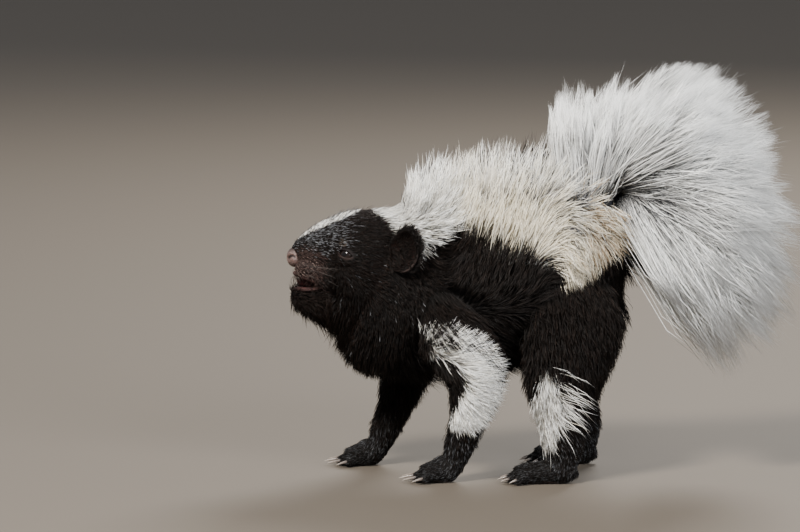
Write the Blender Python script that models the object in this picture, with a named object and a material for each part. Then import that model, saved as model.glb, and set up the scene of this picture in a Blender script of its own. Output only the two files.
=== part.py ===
"""A young striped skunk standing with its tail arched over its back, at life size.

Lengths are in millimetres up to the moment a mesh object is made, and in metres from there on.
The animal faces -X, its left side is -Y, and its soles stand on the plane Z = 0.
"""

import math

import bmesh
import bpy
import numpy as np
from mathutils import Vector
from mathutils.bvhtree import BVHTree

MM = 0.001
# Distance that two nodes keep where one grows from the other.
GAP = 0.3

LEFT, RIGHT = -1, 1
SIDES = {"left": LEFT, "right": RIGHT}

# Head to rump, one station each: x, height of the axis, half width, reach up, reach down, and how far
# the section leans forward for each millimetre below the axis.
TRUNK = [
    (-81.5, 110.5, 3.8, 4.8, 5.5, 0.00),
    (-78.5, 111.0, 6.4, 7.6, 8.2, 0.00),
    (-72.0, 112.2, 9.2, 11.2, 11.7, 0.00),
    (-65.0, 113.2, 12.2, 14.4, 17.4, 0.05),
    (-57.0, 112.5, 17.0, 19.0, 24.5, 0.15),
    (-48.0, 110.0, 21.2, 23.0, 32.0, 0.30),
    (-38.0, 106.0, 24.0, 27.4, 37.5, 0.46),
    (-27.0, 101.0, 25.5, 31.6, 46.0, 0.56),
    (-12.0, 98.0, 28.0, 36.5, 50.0, 0.52),
    (5.0, 98.0, 31.5, 40.5, 48.0, 0.30),
    (25.0, 98.5, 34.0, 42.0, 45.0, 0.08),
    (45.0, 99.5, 34.5, 41.0, 42.5, 0.00),
    (63.0, 101.0, 31.5, 36.5, 38.0, -0.05),
    (75.0, 103.5, 24.5, 28.0, 29.0, -0.10),
    (81.0, 105.0, 14.0, 16.0, 17.0, -0.10),
]
TRUNK_RINGS = 33
TRUNK_SIDES = 24

# Lower jaw, from the chin to inside the throat: x, height, half width, reach up, reach down, lean.
JAW = [
    (-81.0, 90.6, 3.4, 2.6, 3.6, 0.0),
    (-77.8, 89.8, 6.0, 4.4, 6.0, 0.0),
    (-71.0, 88.4, 8.8, 6.4, 8.8, 0.0),
    (-63.0, 87.6, 12.0, 9.0, 10.6, 0.0),
    (-52.0, 87.0, 14.8, 12.0, 12.0, 0.0),
    (-43.0, 87.0, 11.0, 9.0, 10.0, 0.0),
]
JAW_RINGS = 9
JAW_SIDES = 14

# The upper and lower lip follow the mouth's edge from one corner round the front to the other.
MOUTH_CORNER = (-65.5, 10.2, 95.6)
UPPER_LIP = [MOUTH_CORNER, (-71.5, 7.8, 98.6), (-76.8, 5.4, 100.4), (-80.0, 0.0, 101.4)]
LOWER_LIP = [MOUTH_CORNER, (-70.5, 7.2, 94.0), (-76.2, 4.9, 93.8), (-79.8, 0.0, 93.4)]
LIP_RADIUS = 1.2
LIP_POINTS = 11
LIP_SIDES = 5

EYE_RADIUS = 4.4
EYE_CENTRE = (-53.1, 14.8, 111.9)
EYE_RINGS = 6
EYE_SIDES = 10
# Direction in which an eye looks, on the +Y side.
EYE_AXIS = (-0.42, 0.86, 0.28)
# Angle by which the front corner of an eye's opening stands above the rear one.
EYE_SLANT = math.radians(15.0)
LID_HALF_LENGTH = 4.2
LID_HALF_HEIGHT = 2.1
LID_RADIUS = 0.8
LID_TURNS = 14
LID_SIDES = 5

NOSE_CENTRE = (-80.2, 0.0, 109.4)
NOSE_HALF_SIZES = (4.0, 5.0, 5.0)
NOSE_RINGS = 7
NOSE_SIDES = 12
NOSTRIL_RADIUS = 1.15
NOSTRIL_OFFSET = (-2.2, 3.0, 0.0)

EAR_CENTRE = (-26.0, 26.5, 115.5)
EAR_RINGS = 6
EAR_SIDES = 11
# Half sizes along the ear's length, across it, and through it.
EAR_HALF_SIZES = (12.5, 9.2, 5.2)
EAR_CUP_SCALE = 0.8
EAR_CUP_DEPTH = 3.4
EAR_LENGTH_AXIS = (0.44, 0.36, 0.82)
EAR_OPENING_AXIS = (-0.62, 0.78, -0.02)

# Planes that part the trunk into head, neck and torso: a top point and a bottom point in x and z.
HEAD_CUT = ((-15.5, 138.5), (-47.5, 64.0))
NECK_CUT = ((-1.5, 141.5), (-35.0, 40.0))

# Limbs from inside the trunk down to the sole: x, distance from the middle, z, half width, half depth.
FORE_LEFT = [
    (-9.0, 17.0, 90.0, 9.0, 11.0),
    (-2.0, 24.0, 76.0, 12.0, 16.0),
    (6.5, 28.0, 61.0, 11.0, 15.0),
    (8.5, 28.5, 50.0, 9.5, 12.5),
    (7.0, 27.5, 36.0, 7.8, 9.6),
    (3.5, 26.5, 23.0, 6.8, 7.6),
    (0.0, 26.0, 12.0, 6.8, 6.6),
    (-5.0, 26.0, 6.4, 7.0, 5.4),
]
# How far the far foreleg is set forward of the near one, at the shoulder and at the foot.
FORE_STEP = (-30.0, -38.0)
FORE_TOP, FORE_SOLE = 90.0, 6.4
FORE_PAW_CUT = 15.0

HIND_LEFT = [
    (60.0, 17.0, 98.0, 12.0, 20.0),
    (58.0, 24.0, 82.0, 13.0, 24.0),
    (55.0, 28.5, 64.0, 12.0, 21.0),
    (52.5, 30.0, 50.0, 10.5, 17.5),
    (52.5, 30.0, 36.0, 8.6, 12.0),
    (54.5, 30.0, 22.0, 7.0, 9.0),
    (55.0, 30.0, 12.0, 6.6, 7.0),
    (52.5, 30.0, 6.6, 6.4, 6.0),
]
HIND_STEP = (2.0, 12.0)
HIND_TOP, HIND_SOLE = 98.0, 6.6
HIND_PAW_CUT = 15.5

LIMB_RINGS = 13
LIMB_SIDES = 12

# Foot soles from the wrist or the heel forward: x from the ankle, z, half width, half height.
FORE_PAW = [(6.0, 11.0, 5.6, 5.6), (0.0, 6.4, 7.0, 7.2), (-6.0, 4.8, 8.2, 5.8), (-11.0, 3.8, 7.4, 4.6)]
HIND_PAW = [
    (6.5, 8.6, 5.0, 5.6),
    (0.0, 6.2, 6.4, 7.2),
    (-9.0, 5.2, 6.8, 6.2),
    (-17.0, 4.6, 8.0, 5.6),
    (-22.0, 3.8, 7.6, 4.6),
]
PAW_RINGS = 5
PAW_SIDES = 10
TOES = 5
TOE_LENGTH = 8.5
TOE_RADIUS = 2.25
TOE_FAN = math.radians(34.0)
TOE_SIDES = 5
FORE_CLAW_LENGTH = 6.4
HIND_CLAW_LENGTH = 4.0
CLAW_RADIUS = 1.0
CLAW_SIDES = 4

# The tail's arch, from the root inside the rump: x, z, radius of the tail itself.
TAIL = [
    (65.0, 118.0, 9.0),
    (68.5, 132.0, 9.0),
    (73.0, 144.0, 8.5),
    (83.0, 152.0, 7.5),
    (96.0, 151.0, 6.5),
    (108.0, 142.0, 5.0),
    (117.0, 128.0, 3.0),
]
# Angle in degrees between the tail and its hair, on the arch's outer and inner side, and the hair's
# length, each from the root to the end.
OUTER_SPREAD = (30.0, 38.0, 56.0, 42.0, 30.0)
INNER_SPREAD = (80.0, 85.0, 60.0, 36.0, 30.0)
TAIL_HAIR = (34.0, 55.0, 56.0, 66.0)
TAIL_FLATNESS = 0.8
# Share of the hair's length at which its dense inner part, the core, ends.
TAIL_CORE = 0.42
TAIL_ROWS = 11
TAIL_COLUMNS = 11
TAIL_LOCK_WIDTH = 12.0

# A lock of hair: share along it and share of its full width, up to the bare tip.
LOCK_RINGS = ((0.0, 0.62), (0.42, 1.0), (0.75, 0.62))
# Thickness of a lock as a share of its width, and how deep its root is sunk.
LOCK_THICKNESS = 0.26
LOCK_SINK = 3.0
# Room in millimetres that a lock keeps to other nodes, and the shorter lengths tried to keep it.
LOCK_ROOM = 0.5
LOCK_LENGTHS = (1.0, 0.8, 0.62, 0.48)

# Height of the dense part of the coat, the core, along the back: x and height above the skin.
BACK_CORE = ((-34.0, 0.0), (-18.0, 4.0), (-4.0, 9.0), (8.0, 11.0), (44.0, 11.0), (60.0, 5.0), (74.0, 0.0))
# The trunk's coat over that core, by the angle from the spine down to the belly: angle, lift, length,
# and how far a lock is turned about its own length.
COAT_LIE = (
    (0.0, 82.0, 17.0, 62.0),
    (25.0, 70.0, 17.0, 50.0),
    (50.0, 46.0, 17.0, 24.0),
    (75.0, 32.0, 15.5, 12.0),
    (110.0, 26.0, 13.0, 10.0),
    (180.0, 24.0, 11.0, 10.0),
)
# Degrees by which the erect locks of the back lean forward of that lift, at places along X.
BACK_LEAN = ((-6.0, 2.0, 20.0, 60.0), (-4.0, -14.0, 0.0, 26.0))
# Angle in degrees by which the coat's tips lean over from the root's lift.
COAT_BEND = 22.0
COAT_WIDTH = 11.0
# Rows of locks: distance behind the plane between neck and torso, and the spacing round the trunk.
TORSO_ROWS = tuple(4.5 + 9.6 * row for row in range(9))
TORSO_TURNS = tuple(range(-112, 113, 21))
NAPE_ROWS = (-10.0, -4.0)
NAPE_TURNS = tuple(range(-75, 76, 15))
CHEST_TURNS = (115, 138, 160, 180, 200, 222, 245)
CHEST_LENGTH = 11.0
# Height under which locks of the rump may stand behind the plane of the tail's coat.
RUMP_TOP = 124.0
# Room that the locks of the legs leave over the trunk for the trunk's own coat.
LEG_COAT_ROOM = 3.0
# Plane that parts the coat of the back from the tail's.
TAIL_CUT = ((45.0, 185.0), (60.0, 132.5))

# White tufts on the legs: heights, angles from the outer side towards the rear, length and width.
FORE_TUFT = ((72.0, 58.0, 44.0, 32.0), (15.0, 52.0, 88.0), (13.0, 13.0, 12.0, 9.0), 8.0)
HIND_TUFT = ((64.0, 50.0, 37.0), (5.0, 48.0, 90.0), (20.0, 19.0, 13.0), 8.0)

SEED = 7

COAT_BLACK = (0.012, 0.010, 0.009)
COAT_WHITE = (0.78, 0.75, 0.68)
SKIN_BROWN = (0.10, 0.065, 0.055)


def clear_scene():
    """Removes every object that the scene starts with."""
    for item in list(bpy.data.objects):
        bpy.data.objects.remove(item, do_unlink=True)


def finish_material(name, colour, roughness):
    """A Principled material of one colour and roughness."""
    made = bpy.data.materials.new(name)
    made.use_nodes = True
    shader = made.node_tree.nodes["Principled BSDF"]
    shader.inputs["Base Color"].default_value = (*colour, 1.0)
    shader.inputs["Roughness"].default_value = roughness
    shader.inputs["Metallic"].default_value = 0.0
    return made


def solid(name, points, faces):
    """A mesh object from points in millimetres, its faces turned outwards."""
    mesh = bpy.data.meshes.new(name)
    mesh.from_pydata((np.asarray(points, float) * MM).tolist(), [], [list(f) for f in faces])
    work = bmesh.new()
    work.from_mesh(mesh)
    bmesh.ops.recalc_face_normals(work, faces=work.faces)
    if work.calc_volume(signed=True) < 0:
        bmesh.ops.reverse_faces(work, faces=work.faces)
    work.to_mesh(mesh)
    work.free()
    made = bpy.data.objects.new(name, mesh)
    bpy.context.scene.collection.objects.link(made)
    return made


def read_rows(rows, place):
    """Rows of numbers read at places, counted in rows, along a Catmull-Rom curve through them."""
    rows = np.asarray(rows, float)
    place = np.asarray(place, float)
    padded = np.vstack([2 * rows[0] - rows[1], rows, 2 * rows[-1] - rows[-2]])
    first = np.minimum(place.astype(int), len(rows) - 2)
    t = (place - first)[:, None]
    a, b, c, d = (padded[first + k] for k in range(4))
    return 0.5 * (2 * b + (c - a) * t + (2 * a - 5 * b + 4 * c - d) * t**2 + (3 * b - a - 3 * c + d) * t**3)


def smooth_rows(rows, count):
    """Rows of numbers read at count even places along the curve through them."""
    return read_rows(rows, np.linspace(0, len(rows) - 1, count))


def tube_faces(rings, sides):
    """Faces of a closed tube: quads between rings, and a fan from a pole at each end."""
    faces = []
    for r in range(rings - 1):
        for s in range(sides):
            n = (s + 1) % sides
            faces.append((r * sides + s, r * sides + n, (r + 1) * sides + n, (r + 1) * sides + s))
    front, back = rings * sides, rings * sides + 1
    last = (rings - 1) * sides
    for s in range(sides):
        n = (s + 1) % sides
        faces.append((front, n, s))
        faces.append((back, last + s, last + n))
    return faces


def body_tube(name, stations, rings, sides, bulge=2.0):
    """A closed tube along X whose sections reach their own way up, down and sideways, and lean."""
    rows = smooth_rows(stations, rings)
    angle = np.linspace(0, 2 * math.pi, sides, endpoint=False)
    x, z, half, up, down, lean = (rows[:, k, None] for k in range(6))
    across = half * np.sin(angle)
    height = np.where(np.cos(angle) > 0, up, down) * np.cos(angle)
    points = np.stack([x + lean * height, across, z + height], axis=-1).reshape(-1, 3)
    poles = [
        (rows[0, 0] - bulge, 0.0, rows[0, 1]),
        (rows[-1, 0] + bulge, 0.0, rows[-1, 1]),
    ]
    return solid(name, np.vstack([points, poles]), tube_faces(rings, sides))


def limb_tube(name, path, rings, sides, bulge=1.5, sideways=(0.0, 1.0, 0.0)):
    """A closed tube down a path of x, y, z, half width sideways and half depth fore and aft."""
    rows = smooth_rows(path, rings)
    centre = rows[:, :3]
    along = np.gradient(centre, axis=0)
    along /= np.linalg.norm(along, axis=1)[:, None]
    side = np.array(sideways) - along * (along @ np.array(sideways))[:, None]
    side /= np.linalg.norm(side, axis=1)[:, None]
    fore = np.cross(along, side)
    angle = np.linspace(0, 2 * math.pi, sides, endpoint=False)
    points = (
        centre[:, None]
        + side[:, None] * (rows[:, 3, None] * np.cos(angle))[..., None]
        + fore[:, None] * (rows[:, 4, None] * np.sin(angle))[..., None]
    ).reshape(-1, 3)
    poles = [centre[0] - along[0] * bulge, centre[-1] + along[-1] * bulge]
    return solid(name, np.vstack([points, poles]), tube_faces(rings, sides))


def taper_tube(name, path, radii, sides, sideways=(0.0, 1.0, 0.0)):
    """A closed round tube through the path's points, with one radius at each."""
    rows = [(*point, radius, radius) for point, radius in zip(path, radii)]
    return limb_tube(name, rows, len(rows), sides, bulge=0.4 * radii[-1], sideways=sideways)


def unit(vector):
    """The vector at length one."""
    vector = np.asarray(vector, float)
    return vector / np.linalg.norm(vector)


def mirrored(point, side):
    """A point or direction given for the +Y side, on the side asked for."""
    return np.array([point[0], point[1] * side, point[2]], float)


def ellipsoid(name, centre, half_sizes, axes=((1, 0, 0), (0, 1, 0), (0, 0, 1)), rings=10, sides=16):
    """A closed ellipsoid whose half sizes lie along the three axes given."""
    polar = np.linspace(0, math.pi, rings + 2)[1:-1]
    turn = np.linspace(0, 2 * math.pi, sides, endpoint=False)
    ball = np.stack(
        [
            np.cos(polar)[:, None] + 0 * turn,
            np.sin(polar)[:, None] * np.cos(turn),
            np.sin(polar)[:, None] * np.sin(turn),
        ],
        axis=-1,
    ).reshape(-1, 3)
    ball = np.vstack([ball, [(1, 0, 0), (-1, 0, 0)]])
    axes = np.array([unit(a) for a in axes])
    return solid(name, (ball * half_sizes) @ axes + centre, tube_faces(rings, sides))


def box(name, low, high):
    """A box between two corners."""
    corners = [
        (x, y, z) for x in (low[0], high[0]) for y in (low[1], high[1]) for z in (low[2], high[2])
    ]
    faces = [(0, 1, 3, 2), (4, 6, 7, 5), (0, 4, 5, 1), (2, 3, 7, 6), (0, 2, 6, 4), (1, 5, 7, 3)]
    return solid(name, corners, faces)


def half_space(name, cut, forward, offset):
    """A block that fills one side of a plane through the cut's top and bottom points, square to XZ.

    forward is -1 for the block on the nose side and 1 for the one on the tail side; offset moves its
    face away from the plane, towards the block.
    """
    size = 400.0
    top, bottom = (np.array([p[0], 0.0, p[1]]) for p in cut)
    up = unit(top - bottom)
    normal = forward * unit(np.cross((0, 1, 0), up))
    face = top + normal * offset
    corners = [
        face + up * u * size + np.array([0.0, v * size, 0.0]) + normal * w
        for w in (0.0, size)
        for u in (-1, 1)
        for v in (-1, 1)
    ]
    faces = [(0, 1, 3, 2), (4, 6, 7, 5), (0, 4, 5, 1), (2, 3, 7, 6), (0, 2, 6, 4), (1, 5, 7, 3)]
    return solid(name, corners, faces)


def apply_modifiers(item):
    """Bakes an object's modifiers into its mesh."""
    graph = bpy.context.evaluated_depsgraph_get()
    mesh = bpy.data.meshes.new_from_object(item.evaluated_get(graph))
    item.modifiers.clear()
    item.data = mesh


def combine(item, others, operation, solver="EXACT"):
    """Joins or cuts an object with others through one Boolean on a collection, which is then removed."""
    group = bpy.data.collections.new("operands")
    bpy.context.scene.collection.children.link(group)
    for other in others:
        bpy.context.scene.collection.objects.unlink(other)
        group.objects.link(other)
    modifier = item.modifiers.new("combine", "BOOLEAN")
    modifier.operation = operation
    modifier.operand_type = "COLLECTION"
    modifier.collection = group
    modifier.solver = solver
    bpy.context.view_layer.update()
    apply_modifiers(item)
    for other in list(group.objects):
        bpy.data.objects.remove(other, do_unlink=True)
    bpy.data.collections.remove(group)
    keep_largest(item)
    return item


def fuse(item, others):
    """The object joined with the others, as one closed body."""
    return combine(item, others, "UNION")


def carve(item, others):
    """The object with the others cut out of it."""
    return combine(item, others, "DIFFERENCE")


def keep_largest(item):
    """Keeps only the mesh's largest closed surface."""
    work = bmesh.new()
    work.from_mesh(item.data)
    unseen = set(work.verts)
    shells = []
    while unseen:
        shell, edge = set(), [unseen.pop()]
        while edge:
            vert = edge.pop()
            shell.add(vert)
            near = {e.other_vert(vert) for e in vert.link_edges} & unseen
            unseen -= near
            edge.extend(near)
        shells.append(shell)
    shells.sort(key=len)
    bmesh.ops.delete(work, geom=[v for shell in shells[:-1] for v in shell], context="VERTS")
    work.to_mesh(item.data)
    work.free()


def copy_of(item, name):
    """A copy of a mesh object with a mesh of its own."""
    made = bpy.data.objects.new(name, item.data.copy())
    bpy.context.scene.collection.objects.link(made)
    return made


def grown(item, name, gap=GAP):
    """A copy of the object with its surface moved outwards by the gap."""
    made = copy_of(item, name)
    work = bmesh.new()
    work.from_mesh(made.data)
    work.normal_update()
    moves = [(vert, vert.normal * gap * MM) for vert in work.verts]
    for vert, move in moves:
        vert.co += move
    work.to_mesh(made.data)
    work.free()
    return made


def drop(*items):
    """Removes helper objects."""
    for item in items:
        bpy.data.objects.remove(item, do_unlink=True)


def dress(item, material, sharp=50.0):
    """Gives a node its material and smooth shading with its sharp edges kept."""
    item.data.materials.clear()
    item.data.materials.append(material)
    item.data.shade_smooth()
    item.data.set_sharp_from_angle(angle=math.radians(sharp))


def tree_of(item):
    """A search tree of the object's faces."""
    mesh = item.data
    return BVHTree.FromPolygons([v.co.copy() for v in mesh.vertices], [list(f.vertices) for f in mesh.polygons])


def is_inside(spot, tree):
    """Whether a point lies inside a tree's closed surface, by the crossings of a ray from it."""
    ray = Vector((0.31, 0.27, 0.91)).normalized()
    crossings = 0
    while True:
        place = tree.ray_cast(spot, ray)[0]
        if place is None:
            return crossings % 2 == 1
        crossings += 1
        spot = place + ray * 1e-6


def stands_clear(points, trees):
    """Whether a lock given by its points, in millimetres, neither crosses a tree's surface nor lies in it."""
    lock = BVHTree.FromPolygons((points * MM).tolist(), lock_faces())
    tip = Vector(points[-1] * MM)
    return not any(tree.overlap(lock) or is_inside(tip, tree) for tree in trees)


def lock_points(root, heading, bent, length, width, across):
    """Points of a flat tapered lock: four round each ring, and the tip last."""
    points = []
    shares = [share for share, _ in LOCK_RINGS] + [1.0]
    path = [root - heading * LOCK_SINK]
    for share in shares[1:]:
        path.append(root + length * (share * heading + 0.5 * share**2 * (bent - heading)))
    for (share, wide), point in zip(LOCK_RINGS, path):
        along = unit(heading + share * (bent - heading))
        side = unit(across - along * np.dot(across, along))
        thin = np.cross(side, along)
        half = 0.5 * width * wide
        for offset in (side, LOCK_THICKNESS * thin, -side, -LOCK_THICKNESS * thin):
            points.append(point + offset * half)
    points.append(path[-1])
    return np.array(points)


def fattened(points, room):
    """A lock's points moved outwards by the room."""
    rings = points[:-1].reshape(-1, 4, 3).copy()
    middles = rings.mean(1, keepdims=True)
    spokes = rings - middles
    rings += spokes / np.linalg.norm(spokes, axis=2, keepdims=True) * room
    tip = points[-1] + unit(points[-1] - middles[-1, 0]) * room
    return np.vstack([rings.reshape(-1, 3), tip])


def lock_faces():
    """Faces of a closed lock over its points."""
    faces = [(3, 2, 1, 0)]
    last = (len(LOCK_RINGS) - 1) * 4
    for corner in range(4):
        near = (corner + 1) % 4
        for start in range(0, last, 4):
            faces.append((start + corner, start + near, start + near + 4, start + corner + 4))
        faces.append((last + corner, last + near, last + 4))
    return faces


def add_lock(locks, root, heading, bent, length, width, across, allowed, room=LOCK_ROOM):
    """Adds a lock at the longest of the lengths tried that the test of its free and root points allows."""
    for share in LOCK_LENGTHS:
        points = lock_points(root, heading, bent, length * share, width * (0.5 + 0.5 * share), across)
        if allowed(fattened(points, room), points[:4]):
            locks.append(solid("lock", points, lock_faces()))
            return


def trunk_locks(rows, turns, allowed, draw, length_limit=None):
    """Locks on the trunk in staggered rows, erect on the back and lying back and down on the sides."""
    locks = []
    angles, lifts, lengths, twists = zip(*COAT_LIE)
    for number, distance in enumerate(rows):
        for turn in turns:
            turn = turn + (number % 2) * 0.5 * abs(turns[1] - turns[0]) + draw.uniform(-3, 3)
            spot, normal = trunk_frame(distance + draw.uniform(-1.2, 1.2), turn)
            steep = abs((turn + 180) % 360 - 180)
            lift = np.interp(steep, angles, lifts) + draw.uniform(-6, 6)
            length = np.interp(steep, angles, lengths) * draw.uniform(0.88, 1.08)
            length = min(length, length_limit or length)
            down = 0.9 * math.sin(math.radians(steep))
            lie = np.array([1.0, 0.0, -down]) - normal * np.dot((1.0, 0.0, -down), normal)
            lie = unit(lie)
            forward = np.interp(spot[0], *BACK_LEAN) * max(math.cos(math.radians(steep)), 0)
            heading = tilted(normal, lie, lift + forward)
            bent = tilted(normal, lie, lift + forward - COAT_BEND)
            twist = math.radians(np.interp(steep, angles, twists) * draw.uniform(0.6, 1.3) * draw.choice((-1, 1)))
            side = unit(np.cross(heading, np.cross(normal, lie)))
            across = math.cos(twist) * np.cross(normal, lie) + math.sin(twist) * side
            width = COAT_WIDTH * draw.uniform(0.85, 1.15)
            add_lock(locks, spot, heading, bent, length, width, across, allowed)
    return locks


def tilted(normal, lie, lift):
    """Direction that rises from the lie towards the normal by the lift in degrees."""
    return normal * math.sin(math.radians(lift)) + lie * math.cos(math.radians(lift))


def eye_frame(side):
    """Centre of an eye, and its axes: out, along the lids, and up."""
    out = unit(mirrored(EYE_AXIS, side))
    level = unit(np.cross(out, (0, 0, 1)))
    upright = np.cross(level, out)
    along = level * math.cos(EYE_SLANT) - side * upright * math.sin(EYE_SLANT)
    up = np.cross(along, out)
    return mirrored(EYE_CENTRE, side), out, along, up


def lid_ring(side):
    """The rim of both lids round one eye: an almond-shaped closed ring set on the eye's front."""
    centre, out, along, up = eye_frame(side)
    turns, sides = LID_TURNS, LID_SIDES
    turn = np.linspace(0, 2 * math.pi, turns, endpoint=False)
    wide = (LID_HALF_LENGTH * np.cos(turn))[:, None]
    tall = (LID_HALF_HEIGHT * np.sin(turn) * (1 - 0.25 * np.cos(turn) ** 2))[:, None]
    depth = np.sqrt(np.maximum((EYE_RADIUS + 0.25) ** 2 - wide**2 - tall**2, 0.5))
    spine = centre + along * wide + up * tall + out * depth
    outward = along * np.cos(turn)[:, None] + up * np.sin(turn)[:, None]
    points = []
    for step in np.linspace(0, 2 * math.pi, sides, endpoint=False):
        points.append(spine + LID_RADIUS * (outward * math.cos(step) + out * math.sin(step)))
    points = np.stack(points, axis=1).reshape(-1, 3)
    faces = []
    for t in range(turns):
        for s in range(sides):
            a, b = (t + 1) % turns, (s + 1) % sides
            faces.append((t * sides + s, t * sides + b, a * sides + b, a * sides + s))
    return solid(f"lids_{side}", points, faces)


def lip(name, half_edge):
    """One lip as a thin roll from corner to corner, from the half edge given for the +Y side."""
    mirror = [(x, -y, z) for x, y, z in half_edge[:-1]]
    path = smooth_rows(mirror + half_edge[::-1], LIP_POINTS)
    radii = LIP_RADIUS * np.concatenate([[0.35], np.ones(LIP_POINTS - 2), [0.35]])
    return taper_tube(name, path, radii, LIP_SIDES, sideways=(0.0, 0.0, 1.0))


def trunk_rows():
    """The trunk's stations with the core of the back's coat added."""
    places, heights = zip(*BACK_CORE)
    return [(x, z, half, up + np.interp(x, places, heights), *rest) for x, z, half, up, *rest in TRUNK]


def make_trunk():
    """The whole trunk from the nose to the rump in one smooth form."""
    return body_tube("trunk", trunk_rows(), TRUNK_RINGS, TRUNK_SIDES)


def trunk_points(places, turn):
    """Points on the trunk at places counted in stations, at one turn in degrees from the spine."""
    x, z, half, up, down, lean = read_rows(trunk_rows(), places).T
    angle = math.radians(turn)
    height = (up if math.cos(angle) > 0 else down) * math.cos(angle)
    return np.stack([x + lean * height, half * math.sin(angle), z + height], axis=-1)


def behind_plane(points, cut):
    """Distance of points behind a plane through a cut's top and bottom points, towards the tail."""
    top, bottom = (np.array([p[0], 0.0, p[1]]) for p in cut)
    normal = np.cross((0, 1, 0), unit(top - bottom))
    return (np.asarray(points) - top) @ normal


def trunk_frame(distance, turn):
    """Point and outward normal on the trunk at a distance behind the neck's plane and a turn."""
    places = np.linspace(4.0, len(TRUNK) - 1.0, 400)
    gaps = np.abs(behind_plane(trunk_points(places, turn), NECK_CUT) - distance)
    place = places[int(np.argmin(gaps))]
    point, ahead = trunk_points([place, place + 0.02], turn)
    beside = trunk_points([place], turn + 1.0)[0]
    return point, unit(np.cross(ahead - point, beside - point))


def make_head(trunk):
    """The head: its part of the trunk with jaw, lips and lids, hollowed where the eyes sit."""
    head = copy_of(trunk, "head")
    carve(head, [half_space("behind_head", HEAD_CUT, 1, 0.0)])
    jaw = body_tube("jaw", JAW, JAW_RINGS, JAW_SIDES)
    rolls = [lip("upper_lip", UPPER_LIP), lip("lower_lip", LOWER_LIP)]
    lids = [lid_ring(side) for side in SIDES.values()]
    fuse(head, [jaw, *rolls, *lids])
    sockets = []
    for side in SIDES.values():
        centre = eye_frame(side)[0]
        size = EYE_RADIUS + GAP
        sockets.append(ellipsoid("socket", centre, (size, size, size), rings=EYE_RINGS, sides=EYE_SIDES))
    carve(head, sockets)
    return head


def make_neck(trunk, neighbours, draw):
    """The neck between its two planes, with the erect nape and the bristles of the chest."""
    neck = copy_of(trunk, "neck")
    carve(neck, [half_space("before_neck", HEAD_CUT, -1, -GAP), half_space("behind_neck", NECK_CUT, 1, 0.0)])
    trees = [tree_of(item) for item in neighbours]

    def allowed(points, root):
        """Whether a lock stays before the torso's coat and clear of the head, ears and legs."""
        rooted = behind_plane(root, HEAD_CUT).min() > LOCK_ROOM
        before = behind_plane(np.vstack([points, root]), NECK_CUT).max() < 0
        return rooted and before and stands_clear(points, trees)

    nape = trunk_locks(NAPE_ROWS, NAPE_TURNS, allowed, draw)
    chest = trunk_locks(NAPE_ROWS, CHEST_TURNS, allowed, draw, CHEST_LENGTH)
    return fuse(neck, nape + chest)


def make_torso(trunk, neighbours, draw):
    """The torso from the neck's plane to the rump, with the long coat of its back and sides."""
    torso = copy_of(trunk, "torso")
    carve(torso, [half_space("before_torso", NECK_CUT, -1, -GAP)])
    trees = [tree_of(item) for item in neighbours]

    def allowed(points, root):
        """Whether a lock stays between the neck's and the tail's coat and clear of legs and tail."""
        high = points[points[:, 2] > RUMP_TOP]
        between = behind_plane(np.vstack([points, root]), NECK_CUT).min() > GAP
        between = between and (len(high) == 0 or behind_plane(high, TAIL_CUT).max() < 0)
        return between and stands_clear(points, trees)

    return fuse(torso, trunk_locks(TORSO_ROWS, TORSO_TURNS, allowed, draw))


def make_eye(name, side):
    """One eyeball, turned so that its pole looks out between the lids."""
    centre, out, along, up = eye_frame(side)
    size = (EYE_RADIUS, EYE_RADIUS, EYE_RADIUS)
    return ellipsoid(name, centre, size, axes=(out, along, up), rings=EYE_RINGS, sides=EYE_SIDES)


def make_nose(head):
    """The nose pad with its two nostrils, set against the front of the muzzle."""
    nose = ellipsoid("nose", NOSE_CENTRE, NOSE_HALF_SIZES, rings=NOSE_RINGS, sides=NOSE_SIDES)
    holes = []
    for side in SIDES.values():
        start = np.array(NOSE_CENTRE) + mirrored(NOSTRIL_OFFSET, side)
        inward = unit((1.0, -0.35 * side, 0.15))
        path = [start - inward * 3.0, start, start + inward * 1.4]
        radii = [NOSTRIL_RADIUS * 1.25, NOSTRIL_RADIUS, NOSTRIL_RADIUS * 0.7]
        holes.append(taper_tube("nostril", path, radii, 6))
    carve(nose, [grown(head, "head_room"), *holes])
    return nose


def make_ear(name, side, rooms):
    """One ear: a rounded, cupped shell that stands off the side of the head."""
    centre = mirrored(EAR_CENTRE, side)
    along = unit(mirrored(EAR_LENGTH_AXIS, side))
    opening = mirrored(EAR_OPENING_AXIS, side)
    opening = unit(opening - along * np.dot(opening, along))
    across = np.cross(along, opening)
    axes = (along, across, opening)
    ear = ellipsoid(name, centre, EAR_HALF_SIZES, axes=axes, rings=EAR_RINGS, sides=EAR_SIDES)
    cup_size = np.array(EAR_HALF_SIZES) * (EAR_CUP_SCALE, EAR_CUP_SCALE, 1.0)
    cup = ellipsoid("cup", centre + opening * EAR_CUP_DEPTH, cup_size, axes=axes, rings=EAR_RINGS, sides=EAR_SIDES)
    carve(ear, [cup])
    for room in rooms:
        carve(ear, [room])
    return ear


def limb_path(stations, side, step, top, sole):
    """A limb's path on one side; the far one is stepped along X, more and more towards the sole."""
    rows = []
    for x, y, z, half, depth in stations:
        share = (top - z) / (top - sole)
        shift = (step[0] + (step[1] - step[0]) * share) if side == RIGHT else 0.0
        rows.append((x + shift, y * side, z, half, depth))
    return rows


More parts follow.
